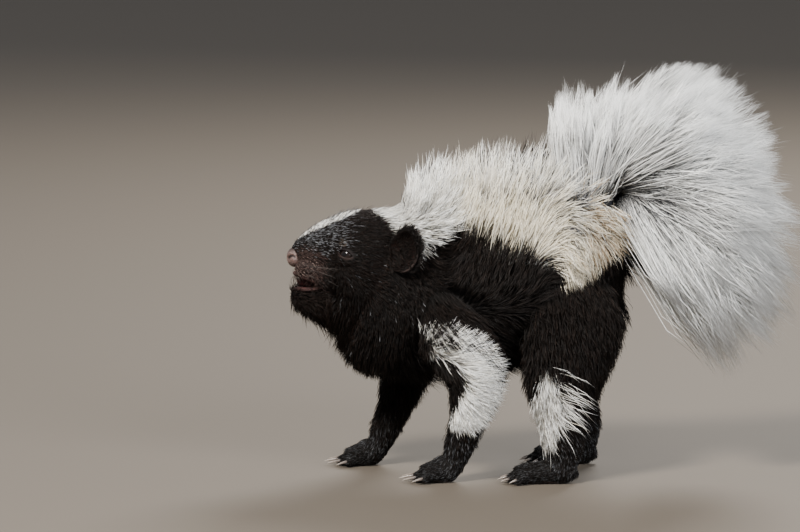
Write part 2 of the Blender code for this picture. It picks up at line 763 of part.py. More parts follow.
def make_foot(path, paw, claw_length, label):
    """The sole, toes and claws under a limb's last point, as pieces to join and claws to keep apart."""
    ankle = np.array(path[-1][:3])
    ankle[2] = 0.0
    rows = [(ankle[0] + x, ankle[1], z, half, tall) for x, z, half, tall in paw]
    sole = limb_tube("sole", rows, PAW_RINGS, PAW_SIDES)
    pieces, claws = [sole], []
    front = rows[-1]
    for toe in range(TOES):
        share = toe / (TOES - 1) * 2 - 1
        turn = TOE_FAN * share
        heading = np.array([-math.cos(turn), math.sin(turn), 0.0])
        length = TOE_LENGTH * (1 - 0.22 * share**2)
        root = np.array([front[0] + 3.0 + 1.6 * share**2, front[1] + share * (front[3] - 1.6), 3.0])
        tip = root + heading * length
        knuckle = root + heading * length * 0.55 + np.array([0, 0, 0.5])
        end = tip - np.array([0, 0, 0.9])
        radii = [TOE_RADIUS, TOE_RADIUS, TOE_RADIUS * 0.8]
        pieces.append(taper_tube("toe", [root, knuckle, end], radii, TOE_SIDES))
        claws.append(make_claw(f"claw_{label}_{toe + 1}", tip, heading, claw_length * (1 - 0.1 * share**2)))
    return pieces, claws


def make_claw(name, tip, heading, length):
    """One curved, pointed claw that starts inside the end of its toe."""
    start = tip + heading * (TOE_RADIUS * 0.1) + np.array([0, 0, -0.2])
    path, radii = [], []
    for share in (0.0, 0.5, 1.0):
        drop_down = 0.9 * share**2
        path.append(start + heading * length * share - np.array([0, 0, drop_down]))
        radii.append(CLAW_RADIUS * (1 - 0.82 * share))
    return taper_tube(name, path, radii, CLAW_SIDES)


def limb_locks(path, side, tuft, allowed, draw):
    """The white tuft on a limb's outer and rear side, as locks that hang back and down."""
    heights, turns, lengths, width = tuft
    rows = smooth_rows(path, 121)
    locks = []
    for height, length in zip(heights, lengths):
        row = rows[int(np.argmin(np.abs(rows[:, 2] - height)))]
        for turn in turns:
            turn = math.radians(turn + draw.uniform(-8, 8))
            outward = np.array([math.sin(turn), side * math.cos(turn), 0.0])
            spot = row[:3] + outward * (row[4] * math.sin(turn) ** 2 + row[3] * math.cos(turn) ** 2)
            lie = unit(np.array([0.55, 0.0, -0.8]) - outward * 0.55 * math.sin(turn))
            across = np.cross(outward, lie)
            long = length * draw.uniform(0.85, 1.1)
            heading, bent = tilted(outward, lie, 48.0), tilted(outward, lie, 16.0)
            wide = width * draw.uniform(0.85, 1.15)
            add_lock(locks, spot, heading, bent, long, wide, across, allowed, LEG_COAT_ROOM)
    return locks


def make_limb(kind, side_name, trunk, draw):
    """A leg with its tuft, and its paw with five claws, cut clear of the trunk and of each other."""
    side = SIDES[side_name]
    if kind == "fore":
        path = limb_path(FORE_LEFT, side, FORE_STEP, FORE_TOP, FORE_SOLE)
        paw, claw_length, cut_height, tuft = FORE_PAW, FORE_CLAW_LENGTH, FORE_PAW_CUT, FORE_TUFT
    else:
        path = limb_path(HIND_LEFT, side, HIND_STEP, HIND_TOP, HIND_SOLE)
        paw, claw_length, cut_height, tuft = HIND_PAW, HIND_CLAW_LENGTH, HIND_PAW_CUT, HIND_TUFT
    label = f"{kind}_{side_name}"
    limb = limb_tube(f"{kind}leg_{side_name}", path, LIMB_RINGS, LIMB_SIDES)
    pieces, claws = make_foot(path, paw, claw_length, label)
    reach = 300.0
    foot = copy_of(limb, f"{kind}paw_{side_name}")
    fuse(foot, pieces)
    above = box("above", (-reach, -reach, cut_height - GAP), (reach, reach, reach))
    floor = box("floor", (-reach, -reach, -reach), (reach, reach, 0.0))
    carve(foot, [above, floor])
    trees = [tree_of(trunk)]

    def allowed(points, _):
        """Whether a lock stays above the paw and clear of the trunk's coat."""
        return points[:, 2].min() > cut_height and stands_clear(points, trees)

    fuse(limb, limb_locks(path, side, tuft, allowed, draw))
    below = box("below", (-reach, -reach, -reach), (reach, reach, cut_height))
    carve(limb, [below, grown(trunk, "trunk_room")])
    for claw in claws:
        carve(claw, [grown(foot, "foot_room")])
    return limb, foot, claws


def tail_frame(share):
    """Point, heading and outward direction of the tail's arch at a share of its length."""
    rows = smooth_rows([(x, z) for x, z, _ in TAIL], 61)
    place = share * 60
    first = min(int(place), 59)
    point = rows[first] + (rows[first + 1] - rows[first]) * (place - first)
    heading = unit([rows[first + 1][0] - rows[first][0], 0.0, rows[first + 1][1] - rows[first][1]])
    outward = np.array([-heading[2], 0.0, heading[0]])
    return np.array([point[0], 0.0, point[1]]), heading, outward


def tail_hair(share, turn):
    """Root, direction and length of the tail's hair at a share of its length and a turn round it.

    The turn is 0 on the outer side of the arch and half a circle on the inner one.
    """
    point, heading, outward = tail_frame(share)
    radius = np.interp(share, np.linspace(0, 1, len(TAIL)), [r for _, _, r in TAIL])
    outer = 0.5 + 0.5 * math.cos(turn)
    radial = outward * math.cos(turn) + np.array([0.0, TAIL_FLATNESS * math.sin(turn), 0.0])
    spread_out = np.interp(share, (0.0, 0.2, 0.5, 0.8, 1.0), OUTER_SPREAD)
    spread_in = np.interp(share, (0.0, 0.2, 0.5, 0.8, 1.0), INNER_SPREAD)
    spread = math.radians(spread_in + (spread_out - spread_in) * outer)
    direction = unit(heading * math.cos(spread) + radial * math.sin(spread))
    length = np.interp(share, (0.0, 0.2, 0.6, 1.0), TAIL_HAIR) * (1 + 0.1 * (1 - outer) * share)
    return point + radial * radius * 0.6, direction, length


def tail_core(name):
    """The dense inner part of the tail's coat as one smooth closed form."""
    work = bmesh.new()
    for share in np.linspace(0.12, 1.0, 9):
        for turn in np.linspace(0, 2 * math.pi, 14, endpoint=False):
            root, direction, length = tail_hair(share, turn)
            work.verts.new(Vector((root + direction * length * TAIL_CORE) * MM))
    for turn in np.linspace(0, 2 * math.pi, 12, endpoint=False):
        root = tail_frame(0.0)[0] + 9.0 * np.array([math.cos(turn), math.sin(turn), 0.0])
        work.verts.new(Vector(root * MM))
    hull = bmesh.ops.convex_hull(work, input=work.verts)
    loose = [v for v in hull["geom_interior"] + hull["geom_unused"] if isinstance(v, bmesh.types.BMVert)]
    bmesh.ops.delete(work, geom=list(set(loose)), context="VERTS")
    mesh = bpy.data.meshes.new(name)
    work.to_mesh(mesh)
    work.free()
    core = bpy.data.objects.new(name, mesh)
    bpy.context.scene.collection.objects.link(core)
    return core


def add_plume(tail, neighbours, draw):
    """Fuses the plume of long locks to the tail's core."""
    trees = [tree_of(item) for item in neighbours]

    def allowed(points, _):
        """Whether a lock stays behind the coat of the back and clear of the rump's and the legs'."""
        return behind_plane(points, TAIL_CUT).min() > 0 and stands_clear(points, trees)

    locks = []
    for row, share in enumerate(np.linspace(0.06, 1.0, TAIL_ROWS)):
        for column in range(TAIL_COLUMNS):
            turn = (column + 0.5 * (row % 2) + draw.uniform(-0.15, 0.15)) / TAIL_COLUMNS * 2 * math.pi
            root, direction, length = tail_hair(share, turn)
            outward = unit(root - tail_frame(share)[0])
            start = root + direction * length * TAIL_CORE * 0.9
            free = length * (1 - TAIL_CORE * 0.9) * draw.uniform(0.88, 1.04)
            heading = unit(direction + 0.12 * outward)
            bent = unit(direction - 0.16 * outward + 0.08 * draw.normal(size=3))
            across = np.cross(direction, outward)
            width = TAIL_LOCK_WIDTH * draw.uniform(0.8, 1.15)
            add_lock(locks, start, heading, bent, free, width, across, allowed)
    fuse(tail, locks)


def stand_on_origin():
    """Moves every node so that the middle of the whole animal's footprint is the origin."""
    nodes = [item for item in bpy.context.scene.objects if item.type == "MESH"]
    corners = np.vstack([[v.co for v in item.data.vertices] for item in nodes])
    low, high = corners.min(0), corners.max(0)
    shift = Vector((-(low[0] + high[0]) / 2, -(low[1] + high[1]) / 2, -low[2]))
    for item in nodes:
        for vert in item.data.vertices:
            vert.co += shift


def main():
    """Builds every node of the animal."""
    clear_scene()
    black = finish_material("coat_black", COAT_BLACK, 0.75)
    white = finish_material("coat_white", COAT_WHITE, 0.7)
    brown = finish_material("skin", SKIN_BROWN, 0.55)
    eye_gloss = finish_material("eye", (0.005, 0.004, 0.004), 0.06)
    horn = finish_material("claw", (0.16, 0.13, 0.11), 0.4)

    draw = np.random.default_rng(SEED)
    trunk = make_trunk()
    head = make_head(trunk)
    dress(head, black)
    dress(make_nose(head), brown)
    ears = []
    for side_name, side in SIDES.items():
        dress(make_eye(f"eye_{side_name}", side), eye_gloss)
        ears.append(make_ear(f"ear_{side_name}", side, [grown(head, "head_room"), grown(trunk, "neck_room")]))
        dress(ears[-1], black)
    limbs = []
    for kind in ("fore", "hind"):
        for side_name in SIDES:
            limb, foot, claws = make_limb(kind, side_name, trunk, draw)
            dress(limb, black)
            dress(foot, black)
            limbs.append(limb)
            for claw in claws:
                dress(claw, horn)
    dress(make_neck(trunk, [head, *ears, *limbs], draw), white)
    tail = tail_core("tail")
    carve(tail, [grown(trunk, "trunk_room")])
    torso = make_torso(trunk, [*limbs, tail], draw)
    dress(torso, white)
    add_plume(tail, [torso, *limbs], draw)
    dress(tail, white)
    drop(trunk)
    stand_on_origin()


main()
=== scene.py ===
"""The looks of a young striped skunk: one skin, a coat of closed tufts, eyes, nose, claws and whiskers.

Shapes are worked out in design millimetres, in which the animal faces -X, its left side is -Y and its
soles stand on Z = 0, and Place carries them into the frame.
"""

import logging
import math
from dataclasses import dataclass, field
from enum import Enum, StrEnum

import bpy
import numpy as np
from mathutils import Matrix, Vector
from numpy.linalg import norm

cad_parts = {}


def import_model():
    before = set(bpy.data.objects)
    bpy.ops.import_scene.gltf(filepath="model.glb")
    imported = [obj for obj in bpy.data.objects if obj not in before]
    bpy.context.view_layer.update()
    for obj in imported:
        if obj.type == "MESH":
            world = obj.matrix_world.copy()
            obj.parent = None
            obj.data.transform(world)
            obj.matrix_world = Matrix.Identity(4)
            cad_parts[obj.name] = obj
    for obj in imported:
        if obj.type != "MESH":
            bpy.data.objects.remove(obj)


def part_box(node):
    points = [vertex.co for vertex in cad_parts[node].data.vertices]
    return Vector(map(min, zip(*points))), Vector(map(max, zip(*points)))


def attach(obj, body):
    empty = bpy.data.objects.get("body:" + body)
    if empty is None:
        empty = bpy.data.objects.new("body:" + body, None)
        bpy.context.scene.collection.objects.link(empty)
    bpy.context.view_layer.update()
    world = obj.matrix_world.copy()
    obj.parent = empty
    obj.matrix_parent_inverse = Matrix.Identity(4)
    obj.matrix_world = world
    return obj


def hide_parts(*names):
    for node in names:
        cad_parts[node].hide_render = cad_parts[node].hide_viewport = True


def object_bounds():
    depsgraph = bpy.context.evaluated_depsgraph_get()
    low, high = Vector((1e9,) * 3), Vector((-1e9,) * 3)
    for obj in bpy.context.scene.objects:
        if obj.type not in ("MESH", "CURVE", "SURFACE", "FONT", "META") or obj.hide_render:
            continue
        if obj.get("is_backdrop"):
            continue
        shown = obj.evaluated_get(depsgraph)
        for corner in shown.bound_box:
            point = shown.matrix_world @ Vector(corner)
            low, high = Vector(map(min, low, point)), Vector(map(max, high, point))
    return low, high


MM = 0.001
BODY = "root"
LOG = logging.getLogger("skunk")

Array = np.ndarray
Item = bpy.types.Object
Triple = tuple[float, float, float]
Table = tuple[tuple[float, ...], ...]


class Side(Enum):
    """The animal's two sides, by the sign of Y."""

    LEFT = -1
    RIGHT = 1


class Leg(StrEnum):
    """The two pairs of legs, as nodes and pieces name them."""

    FORE = "fore"
    HIND = "hind"


class Part(Enum):
    """The parts of the body that the coat tells apart."""

    TRUNK = 0
    JAW = 1
    TAIL = 2
    EAR = 3
    FORE_LEFT = 4
    FORE_RIGHT = 5
    HIND_LEFT = 6
    HIND_RIGHT = 7
    PAW = 8


# Driving sizes of the body, shared with its solids

# Head to rump: x, height of the axis, half width, reach up, reach down, lean forward below the axis.
TRUNK = (
    (-81.5, 110.5, 3.8, 4.8, 5.5, 0.00),
    (-78.5, 111, 6.4, 7.6, 8.2, 0.00),
    (-72, 112.2, 9.2, 11.2, 11.7, 0.00),
    (-65, 113.2, 12.2, 14.4, 17.4, 0.05),
    (-57, 112.5, 17, 19, 24.5, 0.15),
    (-48, 110, 21.2, 23, 32, 0.3),
    (-38, 106, 24, 27.4, 37.5, 0.46),
    (-27, 101, 25.5, 31.6, 46, 0.56),
    (-12, 98, 28, 36.5, 50, 0.52),
    (5, 98, 31.5, 40.5, 48, 0.3),
    (25, 98.5, 34, 42, 45, 0.08),
    (45, 99.5, 34.5, 41, 42.5, 0.00),
    (63, 101, 31.5, 36.5, 38, -0.05),
    (75, 103.5, 24.5, 28, 29, -0.1),
    (81, 105, 14, 16, 17, -0.1),
)
# Depth of the coat over the skin along the trunk, and the share of it that is taken off the back.
TRUNK_DEPTH = (
    (-81.5, 1.9), (-78.5, 1.4), (-72, 0.6), (-57, 1.2), (-45, 2),
    (-30, 3.5), (-12, 5.5), (10, 6.5), (60, 6.5), (81, 5),
)  # fmt: skip
BACK_SHARE = 0.35

# The lower jaw, with the same columns, and the depth of its coat.
JAW = (
    (-81, 90.6, 3.4, 2.6, 3.6, 0),
    (-77.8, 89.8, 6, 4.4, 6, 0),
    (-71, 88.4, 8.8, 6.4, 8.8, 0),
    (-63, 87.6, 12, 9, 10.6, 0),
    (-52, 87, 14.8, 12, 12, 0),
    (-43, 87, 11, 9, 10, 0),
)
JAW_DEPTH = 0.9

# Edges of both lips on the right side, from the corner of the mouth, and x and height of the gap between.
MOUTH_CORNER = (-65.5, 10.2, 95.6)
UPPER_LIP = (MOUTH_CORNER, (-71.5, 7.8, 98.6), (-76.8, 5.4, 100.4), (-80.0, 0.0, 101.4))
LOWER_LIP = (MOUTH_CORNER, (-70.5, 7.2, 94.0), (-76.2, 4.9, 93.8), (-79.8, 0.0, 93.4))
MOUTH_LINE = ((-80.0, 97.6), (-70.0, 96.6), (-64.0, 95.4))

EYE_RADIUS = 4.4
EYE_CENTRE = (-53.1, 14.8, 111.9)
EYE_AXIS = (-0.42, 0.86, 0.28)
# Angle by which the front corner of an eye's opening stands above the rear one.
EYE_SLANT = math.radians(15.0)

NOSE_CENTRE = (-80.2, 0.0, 109.4)
NOSE_HALF_SIZES = (4.0, 5.0, 5.0)

EAR_CENTRE = (-26.0, 26.5, 115.5)
EAR_HALF_SIZES = (12.5, 9.2, 5.2)
EAR_LENGTH_AXIS = (0.44, 0.36, 0.82)
EAR_OPENING_AXIS = (-0.62, 0.78, -0.02)

# Limbs from inside the trunk down to the sole: x, distance from the middle, z, half width, half depth.
FORE_PATH = (
    (-9, 17, 90, 9, 11),
    (-2, 24, 76, 12, 16),
    (6.5, 28, 61, 11, 15),
    (8.5, 28.5, 50, 9.5, 12.5),
    (7, 27.5, 36, 7.8, 9.6),
    (3.5, 26.5, 23, 6.8, 7.6),
    (0, 26, 12, 6.8, 6.6),
    (-5, 26, 6.4, 7, 5.4),
)
HIND_PATH = (
    (60, 17, 98, 12, 20),
    (58, 24, 82, 13, 24),
    (55, 28.5, 64, 12, 21),
    (52.5, 30, 50, 10.5, 17.5),
    (52.5, 30, 36, 8.6, 12),
    (54.5, 30, 22, 7, 9),
    (55, 30, 12, 6.6, 7),
    (52.5, 30, 6.6, 6.4, 6),
)
# How far each right leg is set along X, at its top and at its sole.
FORE_STEP = (-30.0, -38.0)
HIND_STEP = (2.0, 12.0)
# A paw from behind the ankle forward: x from it, height of the middle, half width, half height.
FORE_PAW = ((6.0, 11.0, 5.6, 5.6), (0.0, 6.4, 7.0, 7.2), (-6.0, 4.8, 8.2, 5.8), (-11.0, 3.8, 7.4, 4.6))
HIND_PAW = (
    (6.5, 8.6, 5, 5.6), (0, 6.2, 6.4, 7.2), (-9, 5.2, 6.8, 6.2),
    (-17, 4.6, 8, 5.6), (-22, 3.8, 7.6, 4.6),
)  # fmt: skip
TOES = 5
TOE_LENGTH = 8.5
TOE_RADIUS = 2.25
TOE_FAN = math.radians(34.0)
# A toe's root behind and beside the paw's end, its height, and what the outer toes stand back and lack.
TOE_BACK = 3.0
TOE_INSET = 1.6
TOE_HEIGHT = 3.0
OUTER_TOE_BACK = 1.6
OUTER_TOE_LACK = 0.22
CLAW_RADIUS = 1.0

# The tail's arch from the rump: x, z, radius.
TAIL = (
    (65, 118, 9), (68.5, 132, 9), (73, 144, 8.5), (83, 152, 7.5),
    (96, 151, 6.5), (108, 142, 5), (117, 128, 3),
)  # fmt: skip
# Where the plume fans out from, x and z, and the outline of its tips as seen from the side.
PLUME_FOCUS = (78.0, 147.0)
PLUME_OUTLINE = (
    (52, 174), (48, 186), (46.5, 195), (54, 204), (62, 207), (70.5, 199), (77, 201),
    (84.5, 204), (92.5, 196), (100, 203), (106.5, 204), (114, 206.5), (127, 204.5),
    (138.5, 200), (146, 190), (155, 179), (165, 160), (168.5, 142), (173, 130),
    (172, 114), (169.5, 98),
    (164.5, 83), (156, 71), (142, 63), (133, 54), (118.5, 69), (110, 78), (103, 92),
    (95.5, 109), (88.5, 121),
)  # fmt: skip
# For each angle of the fan in degrees, the lowest and highest share of the tail at which hair is rooted.
PLUME_ROOTS = (
    (-72, 0.28, 0.46), (-55, 0.34, 0.65), (-35, 0.4, 1.00), (0, 0.36, 0.88), (30, 0.34, 0.68),
    (60, 0.3, 0.52), (80, 0.14, 0.4), (106, 0.04, 0.28), (136, 0.00, 0.12),
)  # fmt: skip
PLUME_HALF_WIDTH = 46.0
# Points along the tail's arch at which it is read.
TAIL_STEPS = 240

# Points that are compared with all centres at once, so that they fit in memory.
BLOCK = 4000

# Colours, linear

BLACK_ROOT = (0.0045, 0.0036, 0.0032)
BLACK_TIP = (0.0085, 0.0062, 0.0052)
BROWN_TIP = (0.03, 0.017, 0.011)
WHITE_ROOT = (0.62, 0.59, 0.54)
WHITE_TIP = (0.93, 0.93, 0.91)
CREAM_TIP = (0.85, 0.77, 0.6)
GREY_ROOT = (0.05, 0.05, 0.056)
SILVER = (0.36, 0.37, 0.39)
TAN = (0.1, 0.075, 0.055)
SANDY = (0.42, 0.29, 0.17)
MUZZLE_BROWN = (0.045, 0.028, 0.024)
MUZZLE_PALE = (0.2, 0.145, 0.125)
NOSE_PINK = (0.125, 0.08, 0.07)
LIP_PINK = (0.052, 0.027, 0.025)
LID_PALE = (0.02, 0.0135, 0.012)
LID_BROWN = (0.006, 0.004, 0.004)
# Painted highlight along the front edge of an ear's rim
PAINTED_RIM_HIGHLIGHT = (0.085, 0.062, 0.056)
EAR_RED = (0.034, 0.014, 0.011)
CHEEK_BROWN = (0.02, 0.0105, 0.007)
PAD_DARK = (0.06, 0.045, 0.042)
# Reddish inside of the mouth, darkened as painted shade
PAINTED_MOUTH_SHADE = (0.03, 0.01, 0.01)
SLIT_DARK = (0.01, 0.006, 0.005)
IRIS = (0.01, 0.006, 0.005)
PUPIL = (0.004, 0.003, 0.003)
SCLERA = (0.008, 0.005, 0.005)
# Painted shade in the nostrils
PAINTED_NOSTRIL_SHADE = (0.014, 0.008, 0.007)
CLAW_ROOT = (0.055, 0.042, 0.036)
CLAW_TIP = (0.3, 0.25, 0.21)
WHISKER = (0.07, 0.06, 0.055)

# Middles of the tan spot over an eye, the ruddy muzzle and the pale whiskers' pad, on the right side.
TAN_SPOT = (-57.0, 15.8, 118.5)
MUZZLE_SPOT = (-74.0, 7.0, 105.0)
PAD_SPOT = (-74.5, 8.0, 104.5)


def unit(vectors: Array) -> Array:
    """Vectors at length one, along the last axis."""
    vectors = np.asarray(vectors, float)
    return vectors / np.maximum(norm(vectors, axis=-1, keepdims=True), 1e-12)


def read_table(x: Array, table: Table) -> Array:
    """A table of pairs read at x along straight lines between its places."""
    places, values = zip(*table)
    return np.interp(x, places, values)


def mixed(a: Array | Triple, b: Array | Triple, share: Array) -> Array:
    """One row for each share: two colours, or rows of colours, mixed by it."""
    share = np.asarray(share, float)[:, None]
    return np.asarray(a) * (1 - share) + np.asarray(b) * share


def ramp(low: float, high: float, x: Array) -> Array:
    """0 below low, 1 above high, and an S curve between."""
    t = np.clip((np.asarray(x, float) - low) / (high - low), 0, 1)
    return t * t * (3 - 2 * t)


def read_rows(rows: Table | Array, place: Array) -> Array:
    """Rows read along a Catmull-Rom curve through them.

    Args:
        rows: one row of numbers for each station.
        place: where to read, counted in stations.

    Returns:
        One row for each place.
    """
    rows = np.asarray(rows, float)
    place = np.asarray(place, float)
    padded = np.vstack([2 * rows[0] - rows[1], rows, 2 * rows[-1] - rows[-2]])
    first = np.clip(place.astype(int), 0, len(rows) - 2)
    t = (place - first)[:, None]
    a, b, c, d = (padded[first + k] for k in range(4))
    return 0.5 * (2 * b + (c - a) * t + (2 * a - 5 * b + 4 * c - d) * t**2 + (3 * b - a - 3 * c + d) * t**3)


def smooth_rows(rows: Table | Array, count: int) -> Array:
    """Rows read at count even places along the curve through them."""
    return read_rows(rows, np.linspace(0, len(rows) - 1, count))


def path_distance(points: Array, path: Table | Array) -> tuple[Array, Array]:
    """Distance from points to a broken line, and the share along it of the nearest place.

    Args:
        points: N points of any dimension.
        path: the line's corners in the same dimension.

    Returns:
        The distances, and the shares from 0 to 1.
    """
    path = np.asarray(path, float)
    best = np.full(len(points), 1e9)
    where = np.zeros(len(points))
    for number, (start, end) in enumerate(zip(path[:-1], path[1:])):
        run = end - start
        t = np.clip(((points - start) @ run) / (run @ run), 0, 1)
        gap = norm(points - start - t[:, None] * run, axis=1)
        closer = gap < best
        best = np.where(closer, gap, best)
        where = np.where(closer, (number + t) / (len(path) - 1), where)
    return best, where


def nearest_centres(points: Array, centres: Array) -> Array:
    """For each point the number of its nearest centre."""
    found = np.empty(len(points), int)
    squares = (centres**2).sum(1)
    for start in range(0, len(points), BLOCK):
        block = points[start : start + BLOCK]
        found[start : start + BLOCK] = np.argmin(squares - 2 * block @ centres.T, axis=1)
    return found


def mirror(point: Triple, side: Side) -> Array:
    """A point or direction given for the +Y side, on the side asked for."""
    return np.array([point[0], point[1] * side.value, point[2]], float)


def folded(points: Array) -> Array:
    """Points of both sides brought to the +Y side."""
    return points * (1.0, 0.0, 1.0) + np.abs(points) * (0.0, 1.0, 0.0)


def unit_ball(polar: Array, turn: Array) -> Array:
    """Points of a ball of radius one, its first axis at polar angle 0."""
    across = np.sin(polar)
    return np.stack([np.cos(polar) + 0 * turn, across * np.cos(turn), across * np.sin(turn)], axis=-1)


@dataclass
class Surface:
    """A mesh in design millimetres: points and triangles."""

    points: Array
    faces: Array

    def outward(self) -> "Surface":
        """The same closed surface with its faces turned outwards, by the sign of its volume."""
        a, b, c = (self.points[self.faces[:, k]] for k in range(3))
        if np.einsum("ij,ij->i", a, np.cross(b, c)).sum() < 0:
            return Surface(self.points, self.faces[:, ::-1])
        return self


def grid_faces(index: Array, wrap_rows: bool) -> Array:
    """Triangles of a grid of point numbers, closed along its columns and, if asked, its rows."""
    a, b = (index, np.roll(index, -1, 0)) if wrap_rows else (index[:-1], index[1:])
    a2, b2 = np.roll(a, -1, 1), np.roll(b, -1, 1)
    quads = np.stack([a, a2, b2, b], axis=-1).reshape(-1, 4)
    return np.vstack([quads[:, [0, 1, 2]], quads[:, [0, 2, 3]]])


def closed_tube(rings: Array, front: Array, back: Array) -> Surface:
    """A tube of rings with a fan to a pole at each end.

    Args:
        rings: rings by sides by 3 points.
        front: the pole before the first ring.
        back: the pole after the last ring.

    Returns:
        The closed surface.
    """
    count, sides = rings.shape[:2]
    index = np.arange(count * sides).reshape(count, sides)
    poles = np.full(sides, count * sides)
    fans = [
        np.stack([poles, np.roll(index[0], -1), index[0]], axis=-1),
        np.stack([poles + 1, index[-1], np.roll(index[-1], -1)], axis=-1),
    ]
    points = np.vstack([rings.reshape(-1, 3), [front], [back]])
    return Surface(points, np.vstack([grid_faces(index, False), *fans])).outward()


def closed_ring(rings: Array) -> Surface:
    """A ring of rings, closed both ways."""
    index = np.arange(rings.shape[0] * rings.shape[1]).reshape(rings.shape[:2])
    return Surface(rings.reshape(-1, 3), grid_faces(index, True)).outward()


def body_tube(stations: Table, rings: int, sides: int, bulge: float = 2.0) -> Surface:
    """A closed tube along X: each section is two half ellipses that share a width, and it leans."""
    rows = smooth_rows(stations, rings)
    angle = np.linspace(0, 2 * math.pi, sides, endpoint=False)
    x, z, half, up, down, lean = (rows[:, k, None] for k in range(6))
    height = np.where(np.cos(angle) > 0, up, down) * np.cos(angle)
    points = np.stack([x + lean * height, half * np.sin(angle), z + height], axis=-1)
    front = (rows[0, 0] - bulge, 0.0, rows[0, 1])
    back = (rows[-1, 0] + bulge, 0.0, rows[-1, 1])
    return closed_tube(points, np.array(front), np.array(back))


def path_tube(rows: Array, sides: int, bulge: float, sideways: Triple = (0.0, 1.0, 0.0)) -> Surface:
    """A closed tube down a path: an ellipse square to the path at each row.

    Args:
        rows: x, y, z, half width along sideways, half width square to it.
        sides: points round each ring.
        bulge: how far the end poles stand out.
        sideways: the direction that the first half width follows.

    Returns:
        The closed surface.
    """
    rows = np.asarray(rows, float)
    centre = rows[:, :3]
    along = unit(np.gradient(centre, axis=0))
    side = unit(np.array(sideways) - along * (along @ np.array(sideways))[:, None])
    fore = np.cross(along, side)
    angle = np.linspace(0, 2 * math.pi, sides, endpoint=False)
    wide = rows[:, 3, None] * np.cos(angle)
    deep = rows[:, 4, None] * np.sin(angle)
    points = centre[:, None] + side[:, None] * wide[..., None] + fore[:, None] * deep[..., None]
    return closed_tube(points, centre[0] - along[0] * bulge, centre[-1] + along[-1] * bulge)


def ball(centre: Array, half_sizes: Triple, axes: Array, rings: int, sides: int) -> Surface:
    """An ellipsoid: its half sizes times a unit ball, turned to the axes given as rows."""
    polar = np.linspace(0, math.pi, rings + 2)[1:-1, None]
    turn = np.linspace(0, 2 * math.pi, sides, endpoint=False)
    ends = np.array([(1.0, 0, 0), (-1.0, 0, 0)])
    turned = (unit_ball(polar, turn) * half_sizes) @ unit(axes) + centre
    ends = (ends * half_sizes) @ unit(axes) + centre
    return closed_tube(turned, ends[0], ends[1])


@dataclass
class Place:
    """The step from design millimetres to the frame, found from the left eye's place there."""

    shift: Array = field(default_factory=lambda: np.zeros(3))

    @classmethod
    def from_frame(cls) -> "Place":
        """The place that carries the design's left eye onto the frame's."""
        low, high = (np.array(corner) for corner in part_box("eye_left"))
        return cls((low + high) / 2 - mirror(EYE_CENTRE, Side.LEFT) * MM)

    def to_frame(self, points: Array) -> Array:
        """Design millimetres as metres in the frame."""
        return np.asarray(points, float) * MM + self.shift

    def to_design(self, points: Array) -> Array:
        """Metres in the frame as design millimetres."""
        return (np.asarray(points, float) - self.shift) / MM


@dataclass
class Workshop:
    """Makes and joins mesh objects at the place of the frame."""

    place: Place

    def piece(self, name: str, surface: Surface) -> Item:
        """A smooth mesh object of a surface given in design millimetres."""
        mesh = bpy.data.meshes.new(name)
        faces = np.ascontiguousarray(surface.faces, dtype=np.int32)
        mesh.vertices.add(len(surface.points))
        mesh.vertices.foreach_set("co", self.place.to_frame(surface.points).astype(np.float32).ravel())
        mesh.loops.add(faces.size)
        mesh.loops.foreach_set("vertex_index", faces.ravel())
        mesh.polygons.add(len(faces))
        mesh.polygons.foreach_set("loop_start", np.arange(0, faces.size, 3, dtype=np.int32))
        mesh.polygons.foreach_set("use_smooth", np.ones(len(faces), dtype=bool))
        mesh.update(calc_edges=True)
        made = bpy.data.objects.new(name, mesh)
        bpy.context.scene.collection.objects.link(made)
        return made

    def merged(self, name: str, surfaces: list[Surface]) -> Item:
        """One object of several surfaces, which stay separate shells."""
        offset, points, faces = 0, [], []
        for surface in surfaces:
            points.append(surface.points)
            faces.append(surface.faces + offset)
            offset += len(surface.points)
        return self.piece(name, Surface(np.vstack(points), np.vstack(faces)))

    def bake(self, item: Item) -> Item:
        """Applies an object's modifiers to its mesh."""
        graph = bpy.context.evaluated_depsgraph_get()
        mesh = bpy.data.meshes.new_from_object(item.evaluated_get(graph))
        item.modifiers.clear()
        item.data = mesh
        return item

    def softened(self, item: Item, factor: float, turns: int) -> Item:
        """Draws an object's points towards their neighbours by a factor, a number of times."""
        modifier = item.modifiers.new("soften", "SMOOTH")
        modifier.factor = factor
        modifier.iterations = turns
        return self.bake(item)

    def remeshed(self, item: Item, voxel: float, smoothing: int) -> Item:
        """One even closed skin round an object's shells, with its steps smoothed away."""
        modifier = item.modifiers.new("skin", "REMESH")
        modifier.mode = "VOXEL"
        modifier.voxel_size = voxel * MM
        return self.softened(item, 0.5, smoothing)

    def combined(self, item: Item, others: list[Item], operation: str) -> Item:
        """Joins or cuts an object with others, one after the other, and removes them."""
        for other in others:
            modifier = item.modifiers.new("combine", "BOOLEAN")
            modifier.operation = operation
            modifier.object = other
            modifier.solver = "MANIFOLD"
            self.bake(item)
            bpy.data.objects.remove(other, do_unlink=True)
        return item

    def points_of(self, item: Item) -> tuple[Array, Array]:
        """An object's points in design millimetres, and their normals."""
        count = len(item.data.vertices)
        points, normals = np.empty(count * 3, np.float32), np.empty(count * 3, np.float32)
        item.data.vertices.foreach_get("co", points)
        item.data.vertices.foreach_get("normal", normals)
        return self.place.to_design(points.reshape(-1, 3)), normals.reshape(-1, 3).astype(float)

    def move_points(self, item: Item, points: Array) -> None:
        """Puts an object's points at places given in design millimetres."""
        item.data.vertices.foreach_set("co", self.place.to_frame(points).astype(np.float32).ravel())
        item.data.update()

    def paint(self, item: Item, colours: Array) -> None:
        """Stores one colour for each point as the attribute that the finishes read."""
        rgba = np.concatenate([colours, np.ones((len(colours), 1))], axis=1).astype(np.float32)
        layer = item.data.color_attributes.new("tint", "FLOAT_COLOR", "POINT")
        layer.data.foreach_set("color", rgba.ravel())


